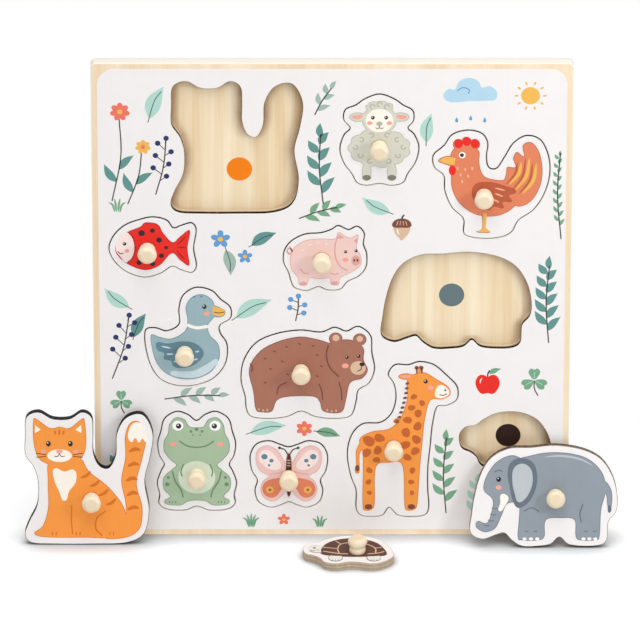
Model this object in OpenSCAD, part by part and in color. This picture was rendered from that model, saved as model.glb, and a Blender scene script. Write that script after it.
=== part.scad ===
// Peg puzzle: an upright board with twelve pockets, and twelve loose animal pieces with a turned knob each.
// Nine pieces sit in their pockets. The cat and the elephant lean on the board. The turtle lies before it.
// Millimetres, +Z up, front towards -Y. The origin is the centre of the board's bottom edge.

/* [Board] */
// Wood left above the highest piece
top_margin = 11.5; // [6:0.5:60]
// Wood left beside the piece that reaches furthest right
right_margin = 10.3; // [6:0.1:60]
// Least wood left between two pieces that lie side by side or one above the other
wall = 4; // [3.5:0.25:12]
// Least wood left between two pieces whose round corners face each other
corner_wall = 2.5; // [2:0.25:8]
// Radius of the board's outer corners
board_corner_r = 3; // [1:0.5:10]
// Thickness of the front layer, which is the depth of the pockets
panel_t = 5; // [4.5:0.25:9]
// Thickness of the sheet glued behind the front layer
backing_t = 3; // [2:0.25:8]

/* [Printed layer] */
// Width of the bare wooden border round the print
border_w = 3.5; // [1:0.25:4]
// Radius of the print's corners
print_corner_r = 10; // [2:0.5:18]
// Thickness of every printed layer
print_t = 0.15; // [0.1:0.05:0.4]
// Bare rim left between the print and the edge of each pocket
print_setback = 0.25; // [0:0.05:0.8]
// Diameter of the colour spot on the floor of an empty pocket
spot_d = 14.5; // [6:0.5:16]

/* [Pieces] */
// Thickness of every piece
piece_t = 5; // [4:0.25:8]
// Clearance between a piece and the wall of its pocket
pocket_gap = 0.35; // [0.3:0.05:0.9]
// Clearance between a piece and the floor of its pocket
seat_gap = 0.2; // [0.1:0.05:0.6]

/* [Knobs] */
// Diameter of the knob's round head
knob_head_d = 11; // [8:0.25:12]
// Diameter of the flat end of the head
knob_flat_d = 6.8; // [2:0.2:7.8]
// Height of the head's widest place above the piece
knob_head_z = 7; // [5.6:0.2:8.6]
// Height of the knob above the piece
knob_h = 10.1; // [9:0.1:14]
// Diameter of the bead at the knob's base
knob_bead_d = 9.5; // [8.8:0.1:11]
// Diameter of the bead's foot, where it stands on the piece
knob_foot_d = 8.4; // [6:0.1:8.6]
// Height of the bead, up to the crease under the head
knob_bead_h = 3.9; // [2.4:0.1:5]
// Diameter of the crease between bead and head
knob_crease_d = 7.9; // [6:0.1:8.4]
// Diameter of the spigot glued into the piece
spigot_d = 4; // [2.5:0.25:6]
// Length of the spigot
spigot_l = 3.6; // [2:0.1:3.8]
// Glue gap round the spigot and below it
glue_gap = 0.1; // [0.05:0.05:0.3]
// Bare ring left in the print round the knob's foot
knob_clear = 0.3; // [0.2:0.05:1]

/* [Cat] */
// Width of the cat's piece
cat_w = 75; // [68:0.5:78]
// Height of the cat's piece
cat_h = 82; // [74:0.5:84]
// From the board's left edge to the cat
cat_beside = 45.5; // [36:0.5:60]
// From the top of the fish to the foot of the cat
cat_above = 2.5; // [2.2:0.1:20]
// Angle at which the cat leans back
cat_lean_angle = 5.5; // [3:0.5:20]
// How far the leaning cat stands out past the board's left edge
cat_overhang = 41; // [36:0.5:60]

/* [Elephant] */
// Width of the elephant's piece
elephant_w = 86; // [76:0.5:88]
// Height of the elephant's piece
elephant_h = 61; // [54:0.5:63]
// From the top of the giraffe to the foot of the elephant
elephant_above = 8.5; // [3:0.5:20]
// Angle at which the elephant leans back
elephant_lean_angle = 11.5; // [4:0.5:25]
// How far the leaning elephant stands out past the board's right edge
elephant_overhang = 28.5; // [26:0.5:60]

/* [Turtle] */
// Width of the turtle's piece
turtle_w = 53; // [46:0.5:54]
// Height of the turtle's piece
turtle_h = 36; // [32:0.5:40]
// From the right side of the giraffe to the turtle in its pocket
turtle_beside = 1.2; // [0.8:0.1:16]
// From the board's bottom edge to the turtle in its pocket
turtle_above = 43.5; // [10:0.5:46]
// Distance of the lying turtle's middle to the right of the board's middle
turtle_right = 9.5; // [0:0.5:20]
// Distance from the board's face to the near edge of the lying turtle
turtle_out = 11; // [8:0.5:60]

/* [Lamb] */
// Width of the lamb's piece
lamb_w = 45; // [40:0.5:50]
// Height of the lamb's piece
lamb_h = 57; // [50:0.5:62]
// From the right side of the cat to the lamb
lamb_beside = 21.5; // [4:0.5:40]
// From the top of the pig to the foot of the lamb
lamb_above = 25.5; // [4:0.5:40]

/* [Rooster] */
// Width of the rooster's piece
rooster_w = 67; // [60:0.5:68]
// Height of the rooster's piece
rooster_h = 68; // [60:0.5:72]
// From the right side of the lamb to the rooster
rooster_beside = 8; // [4:0.5:20]
// From the top of the elephant to the foot of the rooster
rooster_above = 9; // [4:0.5:30]

/* [Fish] */
// Width of the fish's piece
fish_w = 50; // [44:0.5:52]
// Height of the fish's piece
fish_h = 38; // [34:0.5:40]
// From the board's left edge to the fish
fish_beside = 9.5; // [6:0.5:16]
// From the top of the duck to the fish
fish_above = 6.5; // [4:0.5:20]

/* [Pig] */
// Width of the pig's piece
pig_w = 48; // [42:0.5:50]
// Height of the pig's piece
pig_h = 41; // [36:0.5:46]
// From the left side of the bear to the left side of the pig
pig_beside = 24.5; // [10:0.5:29]
// From the top of the bear to the foot of the pig
pig_above = 23; // [4:0.5:40]

/* [Duck] */
// Width of the duck's piece
duck_w = 50; // [44:0.5:52]
// Height of the duck's piece
duck_h = 63; // [56:0.5:65]
// From the board's left edge to the duck
duck_beside = 29.5; // [6:0.5:40]
// From the top of the frog to the foot of the duck
duck_above = 16.5; // [4:0.5:40]

/* [Bear] */
// Width of the bear's piece
bear_w = 77; // [68:0.5:80]
// Height of the bear's piece
bear_h = 59; // [52:0.5:62]
// From the right side of the duck to the bear
bear_beside = 5.5; // [3.5:0.5:20]
// From the top of the butterfly to the foot of the bear
bear_above = 14.5; // [4:0.5:30]

/* [Giraffe] */
// Width of the giraffe's piece
giraffe_w = 64; // [56:0.5:66]
// Height of the giraffe's piece
giraffe_h = 100; // [90:0.5:104]
// From the right side of the butterfly to the giraffe
giraffe_beside = 11.5; // [4:0.5:24]
// From the board's bottom edge to the foot of the giraffe
giraffe_above = 12; // [6:0.5:14]

/* [Frog] */
// Width of the frog's piece
frog_w = 46; // [42:0.5:50]
// Height of the frog's piece
frog_h = 64; // [56:0.5:68]
// From the board's left edge to the frog
frog_beside = 36; // [10:0.5:60]
// From the board's bottom edge to the foot of the frog
frog_above = 16; // [6:0.5:40]

/* [Butterfly] */
// Width of the butterfly's piece
butterfly_w = 45; // [40:0.5:48]
// Height of the butterfly's piece
butterfly_h = 43; // [38:0.5:48]
// From the right side of the frog to the butterfly
butterfly_beside = 8; // [4:0.5:24]
// From the board's bottom edge to the butterfly
butterfly_above = 18; // [6:0.5:40]

/* [Hidden] */

$fn = 48;
// Overrun of every cut
cut = 1;
// Clearance between a leaning piece and the board's print
stand_gap = 0.3;
// Steps that a smooth outline takes between two of its points
smooth_steps = 5;
// Sides of a round motif
oval_sides = 28;
// Share of the bead's height that lies below its widest place
bead_low_share = 0.45;
// Share of the giraffe's width that lies behind its neck, and of its height that lies below its back
giraffe_nape_share = 0.37;
giraffe_back_share = 0.61;

ply_colour = [0.90, 0.80, 0.62];
border_colour = [0.93, 0.84, 0.68];
face_colour = [0.96, 0.95, 0.93];
knob_colour = [0.93, 0.86, 0.70];
orange = [0.93, 0.52, 0.16];
slate = [0.44, 0.50, 0.56];
dark_brown = [0.30, 0.18, 0.14];
sage_grey = [0.76, 0.76, 0.70];
rust = [0.76, 0.36, 0.24];
red = [0.86, 0.20, 0.16];
pink = [0.95, 0.74, 0.68];
blue_grey = [0.56, 0.67, 0.68];
brown = [0.62, 0.38, 0.31];
sage_green = [0.62, 0.72, 0.58];
spot_slate = [0.38, 0.46, 0.46];

// Faces of the board: its back is at back_y, the floor of the pockets at floor_y and its front at front_y
board_t = panel_t + backing_t;
back_y = board_t / 2;
floor_y = back_y - backing_t;
front_y = -board_t / 2;

// Left side of each piece in its pocket, from the board's left edge
fish_left = fish_beside;
duck_left = duck_beside;
frog_left = frog_beside;
cat_left = cat_beside;
butterfly_left = frog_left + frog_w + butterfly_beside;
bear_left = max(duck_left + duck_w + bear_beside, frog_left + frog_w + corner_wall);
pig_left = bear_left + pig_beside;
giraffe_left = max(
    butterfly_left + butterfly_w + giraffe_beside,
    bear_left + bear_w + wall - giraffe_nape_share * giraffe_w
);
turtle_left = giraffe_left + giraffe_w + turtle_beside;
elephant_left = max(bear_left + bear_w, pig_left + pig_w) + wall;
lamb_left = cat_left + cat_w + lamb_beside;
rooster_left = lamb_left + lamb_w + rooster_beside;

// Foot of each piece in its pocket, from the board's bottom edge
frog_low = frog_above;
butterfly_low = butterfly_above;
giraffe_low = giraffe_above;
turtle_low = turtle_above;
duck_low = frog_low + frog_h + duck_above;
fish_low = duck_low + duck_h + fish_above;
bear_low = max(
    butterfly_low + butterfly_h + bear_above,
    giraffe_low + giraffe_back_share * giraffe_h + corner_wall
);
pig_low = bear_low + bear_h + pig_above;
elephant_low = max(giraffe_low + giraffe_h + elephant_above, turtle_low + turtle_h + wall);
cat_low = max(fish_low + fish_h + cat_above, pig_low + pig_h + wall);
lamb_low = max(pig_low + pig_h + lamb_above, elephant_low + elephant_h + wall);
rooster_low = elephant_low + elephant_h + rooster_above;

// The board is as wide and as high as its pockets need
board_w = max(turtle_left + turtle_w, elephant_left + elephant_w, rooster_left + rooster_w) + right_margin;
board_h = max(cat_low + cat_h, lamb_low + lamb_h, rooster_low + rooster_h) + top_margin;

// Lower left corner of each piece in its pocket
cat_place = [cat_left, cat_low];
elephant_place = [elephant_left, elephant_low];
turtle_place = [turtle_left, turtle_low];
lamb_place = [lamb_left, lamb_low];
rooster_place = [rooster_left, rooster_low];
fish_place = [fish_left, fish_low];
pig_place = [pig_left, pig_low];
duck_place = [duck_left, duck_low];
bear_place = [bear_left, bear_low];
giraffe_place = [giraffe_left, giraffe_low];
frog_place = [frog_left, frog_low];
butterfly_place = [butterfly_left, butterfly_low];

// Outlines of the pieces, as shares of each piece's width and height from its lower left corner
cat_blank_shares = [
    [0.12, 0.01], [0.28, 0.00], [0.56, 0.00], [0.80, 0.01], [0.93, 0.08], [0.97, 0.26], [0.94, 0.48],
    [0.98, 0.66], [1.00, 0.84], [0.93, 0.98], [0.81, 0.96], [0.74, 0.84], [0.73, 0.68], [0.68, 0.58],
    [0.61, 0.60], [0.57, 0.70], [0.57, 0.84], [0.56, 0.96], [0.49, 1.00], [0.40, 0.95], [0.28, 0.95],
    [0.18, 1.00], [0.09, 0.96], [0.08, 0.82], [0.08, 0.68], [0.14, 0.58], [0.17, 0.46], [0.16, 0.30],
    [0.10, 0.17], [0.07, 0.07]
];
elephant_blank_shares = [
    [0.01, 0.14], [0.09, 0.07], [0.18, 0.11], [0.24, 0.13], [0.29, 0.06], [0.36, 0.00], [0.46, 0.00],
    [0.55, 0.02], [0.61, 0.09], [0.67, 0.02], [0.77, 0.00], [0.88, 0.01], [0.93, 0.07], [0.94, 0.24],
    [0.99, 0.34], [1.00, 0.48], [0.97, 0.68], [0.89, 0.86], [0.76, 0.96], [0.58, 1.00], [0.42, 0.98],
    [0.27, 0.97], [0.15, 0.88], [0.08, 0.72], [0.04, 0.52], [0.02, 0.34]
];
turtle_blank_shares = [
    [0.00, 0.50], [0.03, 0.36], [0.12, 0.29], [0.19, 0.20], [0.24, 0.06], [0.36, 0.00], [0.50, 0.06],
    [0.62, 0.05], [0.74, 0.00], [0.86, 0.04], [0.94, 0.14], [1.00, 0.27], [0.99, 0.44], [0.94, 0.66],
    [0.84, 0.86], [0.70, 0.97], [0.54, 1.00], [0.38, 0.96], [0.26, 0.86], [0.17, 0.76], [0.07, 0.73],
    [0.01, 0.63]
];
lamb_blank_shares = [
    [0.22, 0.03], [0.34, 0.00], [0.50, 0.02], [0.66, 0.00], [0.80, 0.03], [0.86, 0.13], [0.96, 0.26],
    [1.00, 0.42], [0.94, 0.56], [0.86, 0.63], [0.93, 0.71], [0.92, 0.82], [0.80, 0.88], [0.68, 0.95],
    [0.50, 1.00], [0.32, 0.95], [0.20, 0.88], [0.07, 0.83], [0.05, 0.72], [0.13, 0.63], [0.05, 0.55],
    [0.00, 0.40], [0.05, 0.25], [0.15, 0.13]
];
rooster_blank_shares = [
    [0.28, 0.04], [0.42, 0.00], [0.58, 0.01], [0.68, 0.06], [0.74, 0.17], [0.86, 0.26], [0.95, 0.40],
    [1.00, 0.58], [0.99, 0.76], [0.92, 0.91], [0.80, 0.95], [0.69, 0.88], [0.62, 0.76], [0.55, 0.65],
    [0.48, 0.66], [0.46, 0.76], [0.47, 0.88], [0.42, 0.97], [0.30, 1.00], [0.17, 0.96], [0.10, 0.86],
    [0.01, 0.77], [0.02, 0.66], [0.10, 0.58], [0.11, 0.44], [0.17, 0.29], [0.27, 0.18]
];
fish_blank_shares = [
    [0.00, 0.47], [0.06, 0.27], [0.20, 0.09], [0.40, 0.00], [0.58, 0.06], [0.72, 0.18], [0.83, 0.12],
    [0.95, 0.08], [1.00, 0.20], [0.97, 0.48], [1.00, 0.78], [0.95, 0.90], [0.83, 0.86], [0.74, 0.82],
    [0.66, 0.95], [0.51, 1.00], [0.36, 0.96], [0.18, 0.86], [0.05, 0.68]
];
pig_blank_shares = [
    [0.14, 0.04], [0.28, 0.00], [0.42, 0.06], [0.53, 0.01], [0.68, 0.02], [0.77, 0.14], [0.90, 0.22],
    [0.99, 0.36], [1.00, 0.56], [0.96, 0.72], [0.97, 0.88], [0.89, 0.99], [0.78, 0.94], [0.66, 1.00],
    [0.57, 0.94], [0.44, 0.89], [0.26, 0.87], [0.10, 0.77], [0.01, 0.62], [0.00, 0.44], [0.06, 0.28],
    [0.09, 0.14]
];
duck_blank_shares = [
    [0.26, 0.03], [0.42, 0.00], [0.60, 0.01], [0.80, 0.08], [0.94, 0.23], [0.96, 0.42], [0.88, 0.54],
    [0.88, 0.62], [1.00, 0.69], [1.00, 0.80], [0.89, 0.88], [0.78, 0.97], [0.60, 1.00], [0.45, 0.92],
    [0.40, 0.78], [0.40, 0.63], [0.26, 0.56], [0.12, 0.59], [0.01, 0.57], [0.00, 0.43], [0.05, 0.24],
    [0.14, 0.10]
];
bear_blank_shares = [
    [0.08, 0.02], [0.20, 0.00], [0.34, 0.02], [0.45, 0.08], [0.56, 0.02], [0.70, 0.00], [0.82, 0.03],
    [0.86, 0.17], [0.88, 0.31], [0.96, 0.39], [1.00, 0.54], [0.98, 0.72], [0.97, 0.90], [0.88, 1.00],
    [0.79, 0.95], [0.70, 0.99], [0.60, 0.94], [0.44, 0.96], [0.26, 0.92], [0.11, 0.82], [0.02, 0.63],
    [0.00, 0.42], [0.03, 0.24], [0.04, 0.10]
];
giraffe_blank_shares = [
    [0.12, 0.01], [0.22, 0.00], [0.32, 0.01], [0.38, 0.06], [0.46, 0.01], [0.58, 0.00], [0.70, 0.01],
    [0.74, 0.06], [0.73, 0.18], [0.73, 0.32], [0.75, 0.46], [0.77, 0.60], [0.81, 0.71], [0.90, 0.72],
    [0.99, 0.76], [0.99, 0.84], [0.90, 0.91], [0.78, 0.98], [0.65, 1.00], [0.55, 0.98], [0.43, 0.98],
    [0.37, 0.92], [0.42, 0.86], [0.44, 0.77], [0.40, 0.67], [0.30, 0.61], [0.14, 0.60], [0.04, 0.53],
    [0.00, 0.41], [0.03, 0.27], [0.08, 0.17], [0.08, 0.06]
];
frog_half_shares = [
    [0.50, 0.04], [0.66, 0.00], [0.88, 0.01], [0.98, 0.07], [0.97, 0.16], [1.00, 0.28], [0.95, 0.40],
    [0.91, 0.47], [0.97, 0.56], [0.99, 0.68], [0.95, 0.80], [0.90, 0.93], [0.75, 1.00], [0.61, 0.97],
    [0.50, 0.91]
];
butterfly_half_shares = [
    [0.50, 0.08], [0.62, 0.03], [0.74, 0.00], [0.89, 0.08], [0.94, 0.25], [0.91, 0.41], [0.98, 0.56],
    [1.00, 0.78], [0.92, 0.95], [0.76, 1.00], [0.62, 0.95], [0.50, 0.91]
];

// Middle of each knob, as shares of the piece's width and height
cat_knob_shares = [0.52, 0.34];
elephant_knob_shares = [0.58, 0.50];
turtle_knob_shares = [0.60, 0.40];
lamb_knob_shares = [0.50, 0.42];
rooster_knob_shares = [0.44, 0.40];
fish_knob_shares = [0.44, 0.46];
pig_knob_shares = [0.46, 0.48];
duck_knob_shares = [0.46, 0.34];
bear_knob_shares = [0.45, 0.52];
giraffe_knob_shares = [0.42, 0.45];
frog_knob_shares = [0.50, 0.36];
butterfly_knob_shares = [0.50, 0.46];
// Middle of each colour spot, as shares of its pocket's width and height
cat_spot_shares = [0.52, 0.31];
elephant_spot_shares = [0.47, 0.52];
turtle_spot_shares = [0.53, 0.52];

// Motifs of the printed figures, as shares of each piece's width and height. The motifs of a figure overlap.
cat_head_shares = [
    [0.17, 0.66], [0.24, 0.61], [0.33, 0.60], [0.43, 0.62], [0.50, 0.68], [0.52, 0.78], [0.51, 0.93],
    [0.49, 0.95], [0.40, 0.88], [0.33, 0.89], [0.26, 0.88], [0.16, 0.95], [0.14, 0.93], [0.14, 0.78]
];
cat_body_shares = [
    [0.17, 0.06], [0.30, 0.05], [0.52, 0.05], [0.68, 0.05], [0.79, 0.12], [0.79, 0.27], [0.68, 0.43],
    [0.54, 0.55], [0.46, 0.66], [0.26, 0.64], [0.24, 0.48], [0.24, 0.28], [0.20, 0.14], [0.14, 0.09]
];
cat_tail_shares = [
    [0.64, 0.05], [0.80, 0.05], [0.90, 0.12], [0.92, 0.28], [0.88, 0.46], [0.92, 0.64], [0.95, 0.80],
    [0.91, 0.92], [0.84, 0.92], [0.80, 0.82], [0.80, 0.66], [0.77, 0.48], [0.80, 0.30], [0.78, 0.16]
];
elephant_head_shares = [
    [0.16, 0.46], [0.15, 0.32], [0.12, 0.23], [0.06, 0.25], [0.05, 0.19], [0.11, 0.14], [0.18, 0.18],
    [0.22, 0.30], [0.26, 0.42], [0.36, 0.46], [0.42, 0.62], [0.40, 0.80], [0.30, 0.90], [0.19, 0.84],
    [0.12, 0.70], [0.10, 0.56]
];
elephant_body_shares = [
    [0.34, 0.40], [0.33, 0.10], [0.36, 0.06], [0.47, 0.06], [0.51, 0.10], [0.52, 0.26], [0.62, 0.28],
    [0.71, 0.26], [0.72, 0.10], [0.75, 0.06], [0.85, 0.06], [0.88, 0.10], [0.89, 0.36], [0.92, 0.56],
    [0.89, 0.74], [0.78, 0.88], [0.60, 0.93], [0.42, 0.90], [0.30, 0.80]
];
elephant_tail_shares = [
    [0.88, 0.60], [0.92, 0.52], [0.93, 0.42], [0.94, 0.34], [0.96, 0.40], [0.96, 0.54], [0.92, 0.64]
];
turtle_shell_shares = [
    [0.22, 0.32], [0.42, 0.25], [0.64, 0.24], [0.84, 0.26], [0.92, 0.32], [0.90, 0.50], [0.82, 0.72],
    [0.68, 0.86], [0.54, 0.90], [0.38, 0.84], [0.26, 0.70], [0.19, 0.48]
];
turtle_head_shares = [
    [0.07, 0.48], [0.11, 0.40], [0.20, 0.38], [0.26, 0.44], [0.24, 0.56], [0.16, 0.64], [0.08, 0.60]
];
rooster_body_shares = [
    [0.16, 0.60], [0.17, 0.46], [0.24, 0.32], [0.38, 0.22], [0.56, 0.21], [0.70, 0.29], [0.78, 0.44],
    [0.70, 0.54], [0.56, 0.54], [0.44, 0.58], [0.40, 0.70], [0.40, 0.80], [0.34, 0.86], [0.24, 0.87],
    [0.17, 0.81], [0.15, 0.72]
];
rooster_tail_shares = [
    [0.60, 0.42], [0.72, 0.30], [0.84, 0.34], [0.92, 0.48], [0.94, 0.64], [0.91, 0.80], [0.84, 0.89],
    [0.77, 0.86], [0.78, 0.76], [0.72, 0.80], [0.69, 0.74], [0.71, 0.66], [0.64, 0.66], [0.63, 0.60]
];
rooster_beak_shares = [[0.05, 0.72], [0.10, 0.69], [0.19, 0.67], [0.20, 0.75], [0.11, 0.76]];
rooster_leg_shares = [
    [0.43, 0.24], [0.43, 0.09], [0.38, 0.06], [0.46, 0.05], [0.50, 0.06], [0.46, 0.10], [0.47, 0.24]
];
fish_body_shares = [
    [0.07, 0.47], [0.18, 0.25], [0.40, 0.12], [0.58, 0.20], [0.72, 0.40], [0.82, 0.28], [0.92, 0.20],
    [0.90, 0.48], [0.93, 0.78], [0.82, 0.68], [0.73, 0.58], [0.62, 0.74], [0.56, 0.88], [0.42, 0.91],
    [0.36, 0.84], [0.18, 0.72]
];
pig_body_shares = [
    [0.17, 0.20], [0.19, 0.09], [0.28, 0.09], [0.31, 0.19], [0.44, 0.18], [0.56, 0.19], [0.57, 0.10],
    [0.66, 0.09], [0.69, 0.20], [0.84, 0.30], [0.93, 0.40], [0.93, 0.54], [0.88, 0.66], [0.90, 0.86],
    [0.82, 0.82], [0.76, 0.83], [0.66, 0.90], [0.62, 0.80], [0.46, 0.80], [0.28, 0.78], [0.14, 0.68],
    [0.08, 0.52], [0.09, 0.34]
];
duck_body_shares = [
    [0.24, 0.13], [0.42, 0.07], [0.62, 0.08], [0.78, 0.15], [0.87, 0.28], [0.86, 0.42], [0.76, 0.52],
    [0.74, 0.62], [0.82, 0.72], [0.80, 0.86], [0.68, 0.93], [0.55, 0.90], [0.48, 0.80], [0.50, 0.66],
    [0.46, 0.55], [0.30, 0.48], [0.16, 0.50], [0.07, 0.52], [0.08, 0.38], [0.13, 0.24]
];
duck_bill_shares = [[0.78, 0.72], [0.88, 0.70], [0.94, 0.73], [0.92, 0.78], [0.78, 0.82]];
bear_body_shares = [
    [0.09, 0.30], [0.11, 0.10], [0.16, 0.07], [0.23, 0.08], [0.27, 0.20], [0.36, 0.24], [0.54, 0.24],
    [0.59, 0.18], [0.61, 0.09], [0.68, 0.06], [0.76, 0.08], [0.79, 0.22], [0.82, 0.39], [0.91, 0.44],
    [0.95, 0.53], [0.92, 0.64], [0.92, 0.76], [0.86, 0.84], [0.77, 0.86], [0.68, 0.82], [0.58, 0.86],
    [0.44, 0.89], [0.28, 0.84], [0.14, 0.73], [0.06, 0.54]
];
giraffe_body_shares = [
    [0.14, 0.40], [0.14, 0.08], [0.17, 0.04], [0.23, 0.05], [0.25, 0.10], [0.26, 0.32], [0.38, 0.35],
    [0.50, 0.33], [0.52, 0.08], [0.55, 0.04], [0.62, 0.05], [0.64, 0.10], [0.66, 0.32], [0.68, 0.48],
    [0.70, 0.62], [0.75, 0.75], [0.86, 0.76], [0.93, 0.79], [0.91, 0.84], [0.80, 0.89], [0.70, 0.93],
    [0.60, 0.92], [0.54, 0.88], [0.54, 0.76], [0.48, 0.64], [0.38, 0.57], [0.22, 0.55], [0.11, 0.50]
];
giraffe_tail_shares = [
    [0.14, 0.50], [0.08, 0.43], [0.08, 0.34], [0.07, 0.29], [0.11, 0.29], [0.11, 0.40], [0.15, 0.46]
];
frog_body_half_shares = [
    [0.50, 0.10], [0.61, 0.09], [0.71, 0.05], [0.88, 0.06], [0.91, 0.10], [0.84, 0.14], [0.92, 0.22],
    [0.92, 0.33], [0.82, 0.41], [0.76, 0.46], [0.84, 0.52], [0.91, 0.60], [0.91, 0.70], [0.86, 0.78],
    [0.84, 0.87], [0.76, 0.94], [0.65, 0.92], [0.59, 0.85], [0.50, 0.84]
];
butterfly_wing_half_shares = [
    [0.50, 0.30], [0.58, 0.18], [0.70, 0.09], [0.82, 0.14], [0.87, 0.27], [0.83, 0.40], [0.76, 0.47],
    [0.88, 0.56], [0.93, 0.72], [0.90, 0.87], [0.78, 0.93], [0.65, 0.86], [0.56, 0.70], [0.50, 0.60]
];

// Closed smooth outline through the given points: between two points it follows the cubic that leaves each
// point parallel to the line between its two neighbours
function cubic(a, b, c, d, t) =
    b + (c - a) * t / 2 + (a - b * 5 / 2 + c * 2 - d / 2) * t * t
    + (b * 3 / 2 - a / 2 - c * 3 / 2 + d / 2) * t * t * t;
function smooth(points, steps = smooth_steps) = [
    for (i = [0 : len(points) - 1])
        for (s = [0 : steps - 1])
            let (n = len(points))
                cubic(points[(i + n - 1) % n], points[i], points[(i + 1) % n], points[(i + 2) % n], s / steps)
];

// Symmetric outline from its right half, whose first and last points lie on the middle line
function both_sides(half) = concat(half, [for (i = [len(half) - 2 : -1 : 1]) [1 - half[i][0], half[i][1]]]);

// Round motif in shares of a piece: middle, half width and half height
function oval(x, y, rx, ry, sides = oval_sides) = [
    for (i = [0 : sides - 1]) [x + rx * cos(i * 360 / sides), y + ry * sin(i * 360 / sides)]
];

// Woolly motif: an oval whose edge swells and falls a number of times
function fleece(x, y, rx, ry, curls, swell) = [
    for (i = [0 : curls * 6 - 1])
        let (a = i * 60 / curls, r = 1 + swell * abs(sin(a * curls / 2)))
            [x + rx * r * cos(a), y + ry * r * sin(a)]
];

// Bounds of a list of points, and the points moved and stretched so that these bounds become the piece's size
function low(points) = [min([for (p = points) p[0]]), min([for (p = points) p[1]])];
function high(points) = [max([for (p = points) p[0]]), max([for (p = points) p[1]])];
function sized(points, bounds, size) = [
    for (p = points) [
        (p[0] - bounds[0][0]) / (bounds[1][0] - bounds[0][0]) * size[0],
        (p[1] - bounds[0][1]) / (bounds[1][1] - bounds[0][1]) * size[1]
    ]
];

// Outline of a piece at its real size, from its lower left corner
function blank(shares, size) = let (p = smooth(shares)) sized(p, [low(p), high(p)], size);

// Outline grown by a gap along its outward normals
function grown(points, gap) = [
    for (i = [0 : len(points) - 1])
        let (n = len(points), along = points[(i + 1) % n] - points[(i + n - 1) % n], l = norm(along))
            points[i] + [along[1], -along[0]] * gap / l
];

cat_size = [cat_w, cat_h];
elephant_size = [elephant_w, elephant_h];
turtle_size = [turtle_w, turtle_h];
lamb_size = [lamb_w, lamb_h];
rooster_size = [rooster_w, rooster_h];
fish_size = [fish_w, fish_h];
pig_size = [pig_w, pig_h];
duck_size = [duck_w, duck_h];
bear_size = [bear_w, bear_h];
giraffe_size = [giraffe_w, giraffe_h];
frog_size = [frog_w, frog_h];
butterfly_size = [butterfly_w, butterfly_h];

frog_blank_shares = both_sides(frog_half_shares);
butterfly_blank_shares = both_sides(butterfly_half_shares);

// Motifs of each figure
cat_motifs = [smooth(cat_head_shares), smooth(cat_body_shares), smooth(cat_tail_shares)];
elephant_motifs = [
    smooth(elephant_head_shares), smooth(elephant_body_shares), smooth(elephant_tail_shares)
];
turtle_motifs = [
    smooth(turtle_shell_shares), smooth(turtle_head_shares),
    oval(0.36, 0.20, 0.08, 0.12), oval(0.78, 0.20, 0.08, 0.12)
];
lamb_motifs = [
    fleece(0.50, 0.41, 0.37, 0.20, 11, 0.09), oval(0.50, 0.72, 0.22, 0.16),
    fleece(0.50, 0.86, 0.16, 0.06, 7, 0.14), oval(0.23, 0.75, 0.11, 0.05), oval(0.77, 0.75, 0.11, 0.05),
    oval(0.34, 0.15, 0.06, 0.10), oval(0.66, 0.15, 0.06, 0.10)
];
rooster_motifs = [
    smooth(rooster_body_shares), smooth(rooster_tail_shares), smooth(rooster_beak_shares),
    smooth(rooster_leg_shares), oval(0.22, 0.87, 0.045, 0.05), oval(0.29, 0.89, 0.045, 0.05),
    oval(0.36, 0.87, 0.045, 0.05)
];
fish_motifs = [smooth(fish_body_shares)];
pig_motifs = [smooth(pig_body_shares)];
duck_motifs = [smooth(duck_body_shares), smooth(duck_bill_shares)];
bear_motifs = [smooth(bear_body_shares), oval(0.71, 0.87, 0.05, 0.065), oval(0.89, 0.86, 0.05, 0.065)];
giraffe_motifs = [
    smooth(giraffe_body_shares), smooth(giraffe_tail_shares),
    oval(0.53, 0.905, 0.07, 0.02), oval(0.66, 0.95, 0.02, 0.025)
];
frog_motifs = [smooth(both_sides(frog_body_half_shares))];
butterfly_motifs = [smooth(both_sides(butterfly_wing_half_shares)), oval(0.50, 0.49, 0.05, 0.34)];

// A pocket: the place of its lower left corner, the outline shares and the size of its piece
pockets = [
    [cat_place, cat_blank_shares, cat_size],
    [elephant_place, elephant_blank_shares, elephant_size],
    [turtle_place, turtle_blank_shares, turtle_size],
    [lamb_place, lamb_blank_shares, lamb_size],
    [rooster_place, rooster_blank_shares, rooster_size],
    [fish_place, fish_blank_shares, fish_size],
    [pig_place, pig_blank_shares, pig_size],
    [duck_place, duck_blank_shares, duck_size],
    [bear_place, bear_blank_shares, bear_size],
    [giraffe_place, giraffe_blank_shares, giraffe_size],
    [frog_place, frog_blank_shares, frog_size],
    [butterfly_place, butterfly_blank_shares, butterfly_size]
];

// Lower left corner of a piece in its pocket, from the middle of the board's bottom edge
function corner(place) = [place[0] - board_w / 2, place[1]];

// Turns a flat drawing upright: its up becomes +Z and its face looks to -Y, with its back at the given y
module upright(y) translate([0, y, 0]) rotate([90, 0, 0]) children();

// Moves a piece, drawn flat from its lower left corner, into its pocket
module seated(place) upright(floor_y - seat_gap) translate(corner(place)) children();

// Leans a piece back on the board, with its left edge at the given x. It touches at the highest place that is
// in front of the board, and its foot stands forward by what the lean needs.
module leaning(left, lean, outline) {
    over = [for (p = outline) if (abs(p[0] + left) < board_w / 2) p[1]];
    touch_h = max(over);
    foot_y = front_y - print_t - stand_gap - touch_h * sin(lean);
    translate([left, foot_y, 0]) rotate([90 - lean, 0, 0]) children();
}
module cat_pose()
    leaning(-board_w / 2 - cat_overhang, cat_lean_angle, blank(cat_blank_shares, cat_size))
        children();
module elephant_pose()
    leaning(
        board_w / 2 + elephant_overhang - elephant_w, elephant_lean_angle,
        blank(elephant_blank_shares, elephant_size)
    ) children();

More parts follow.
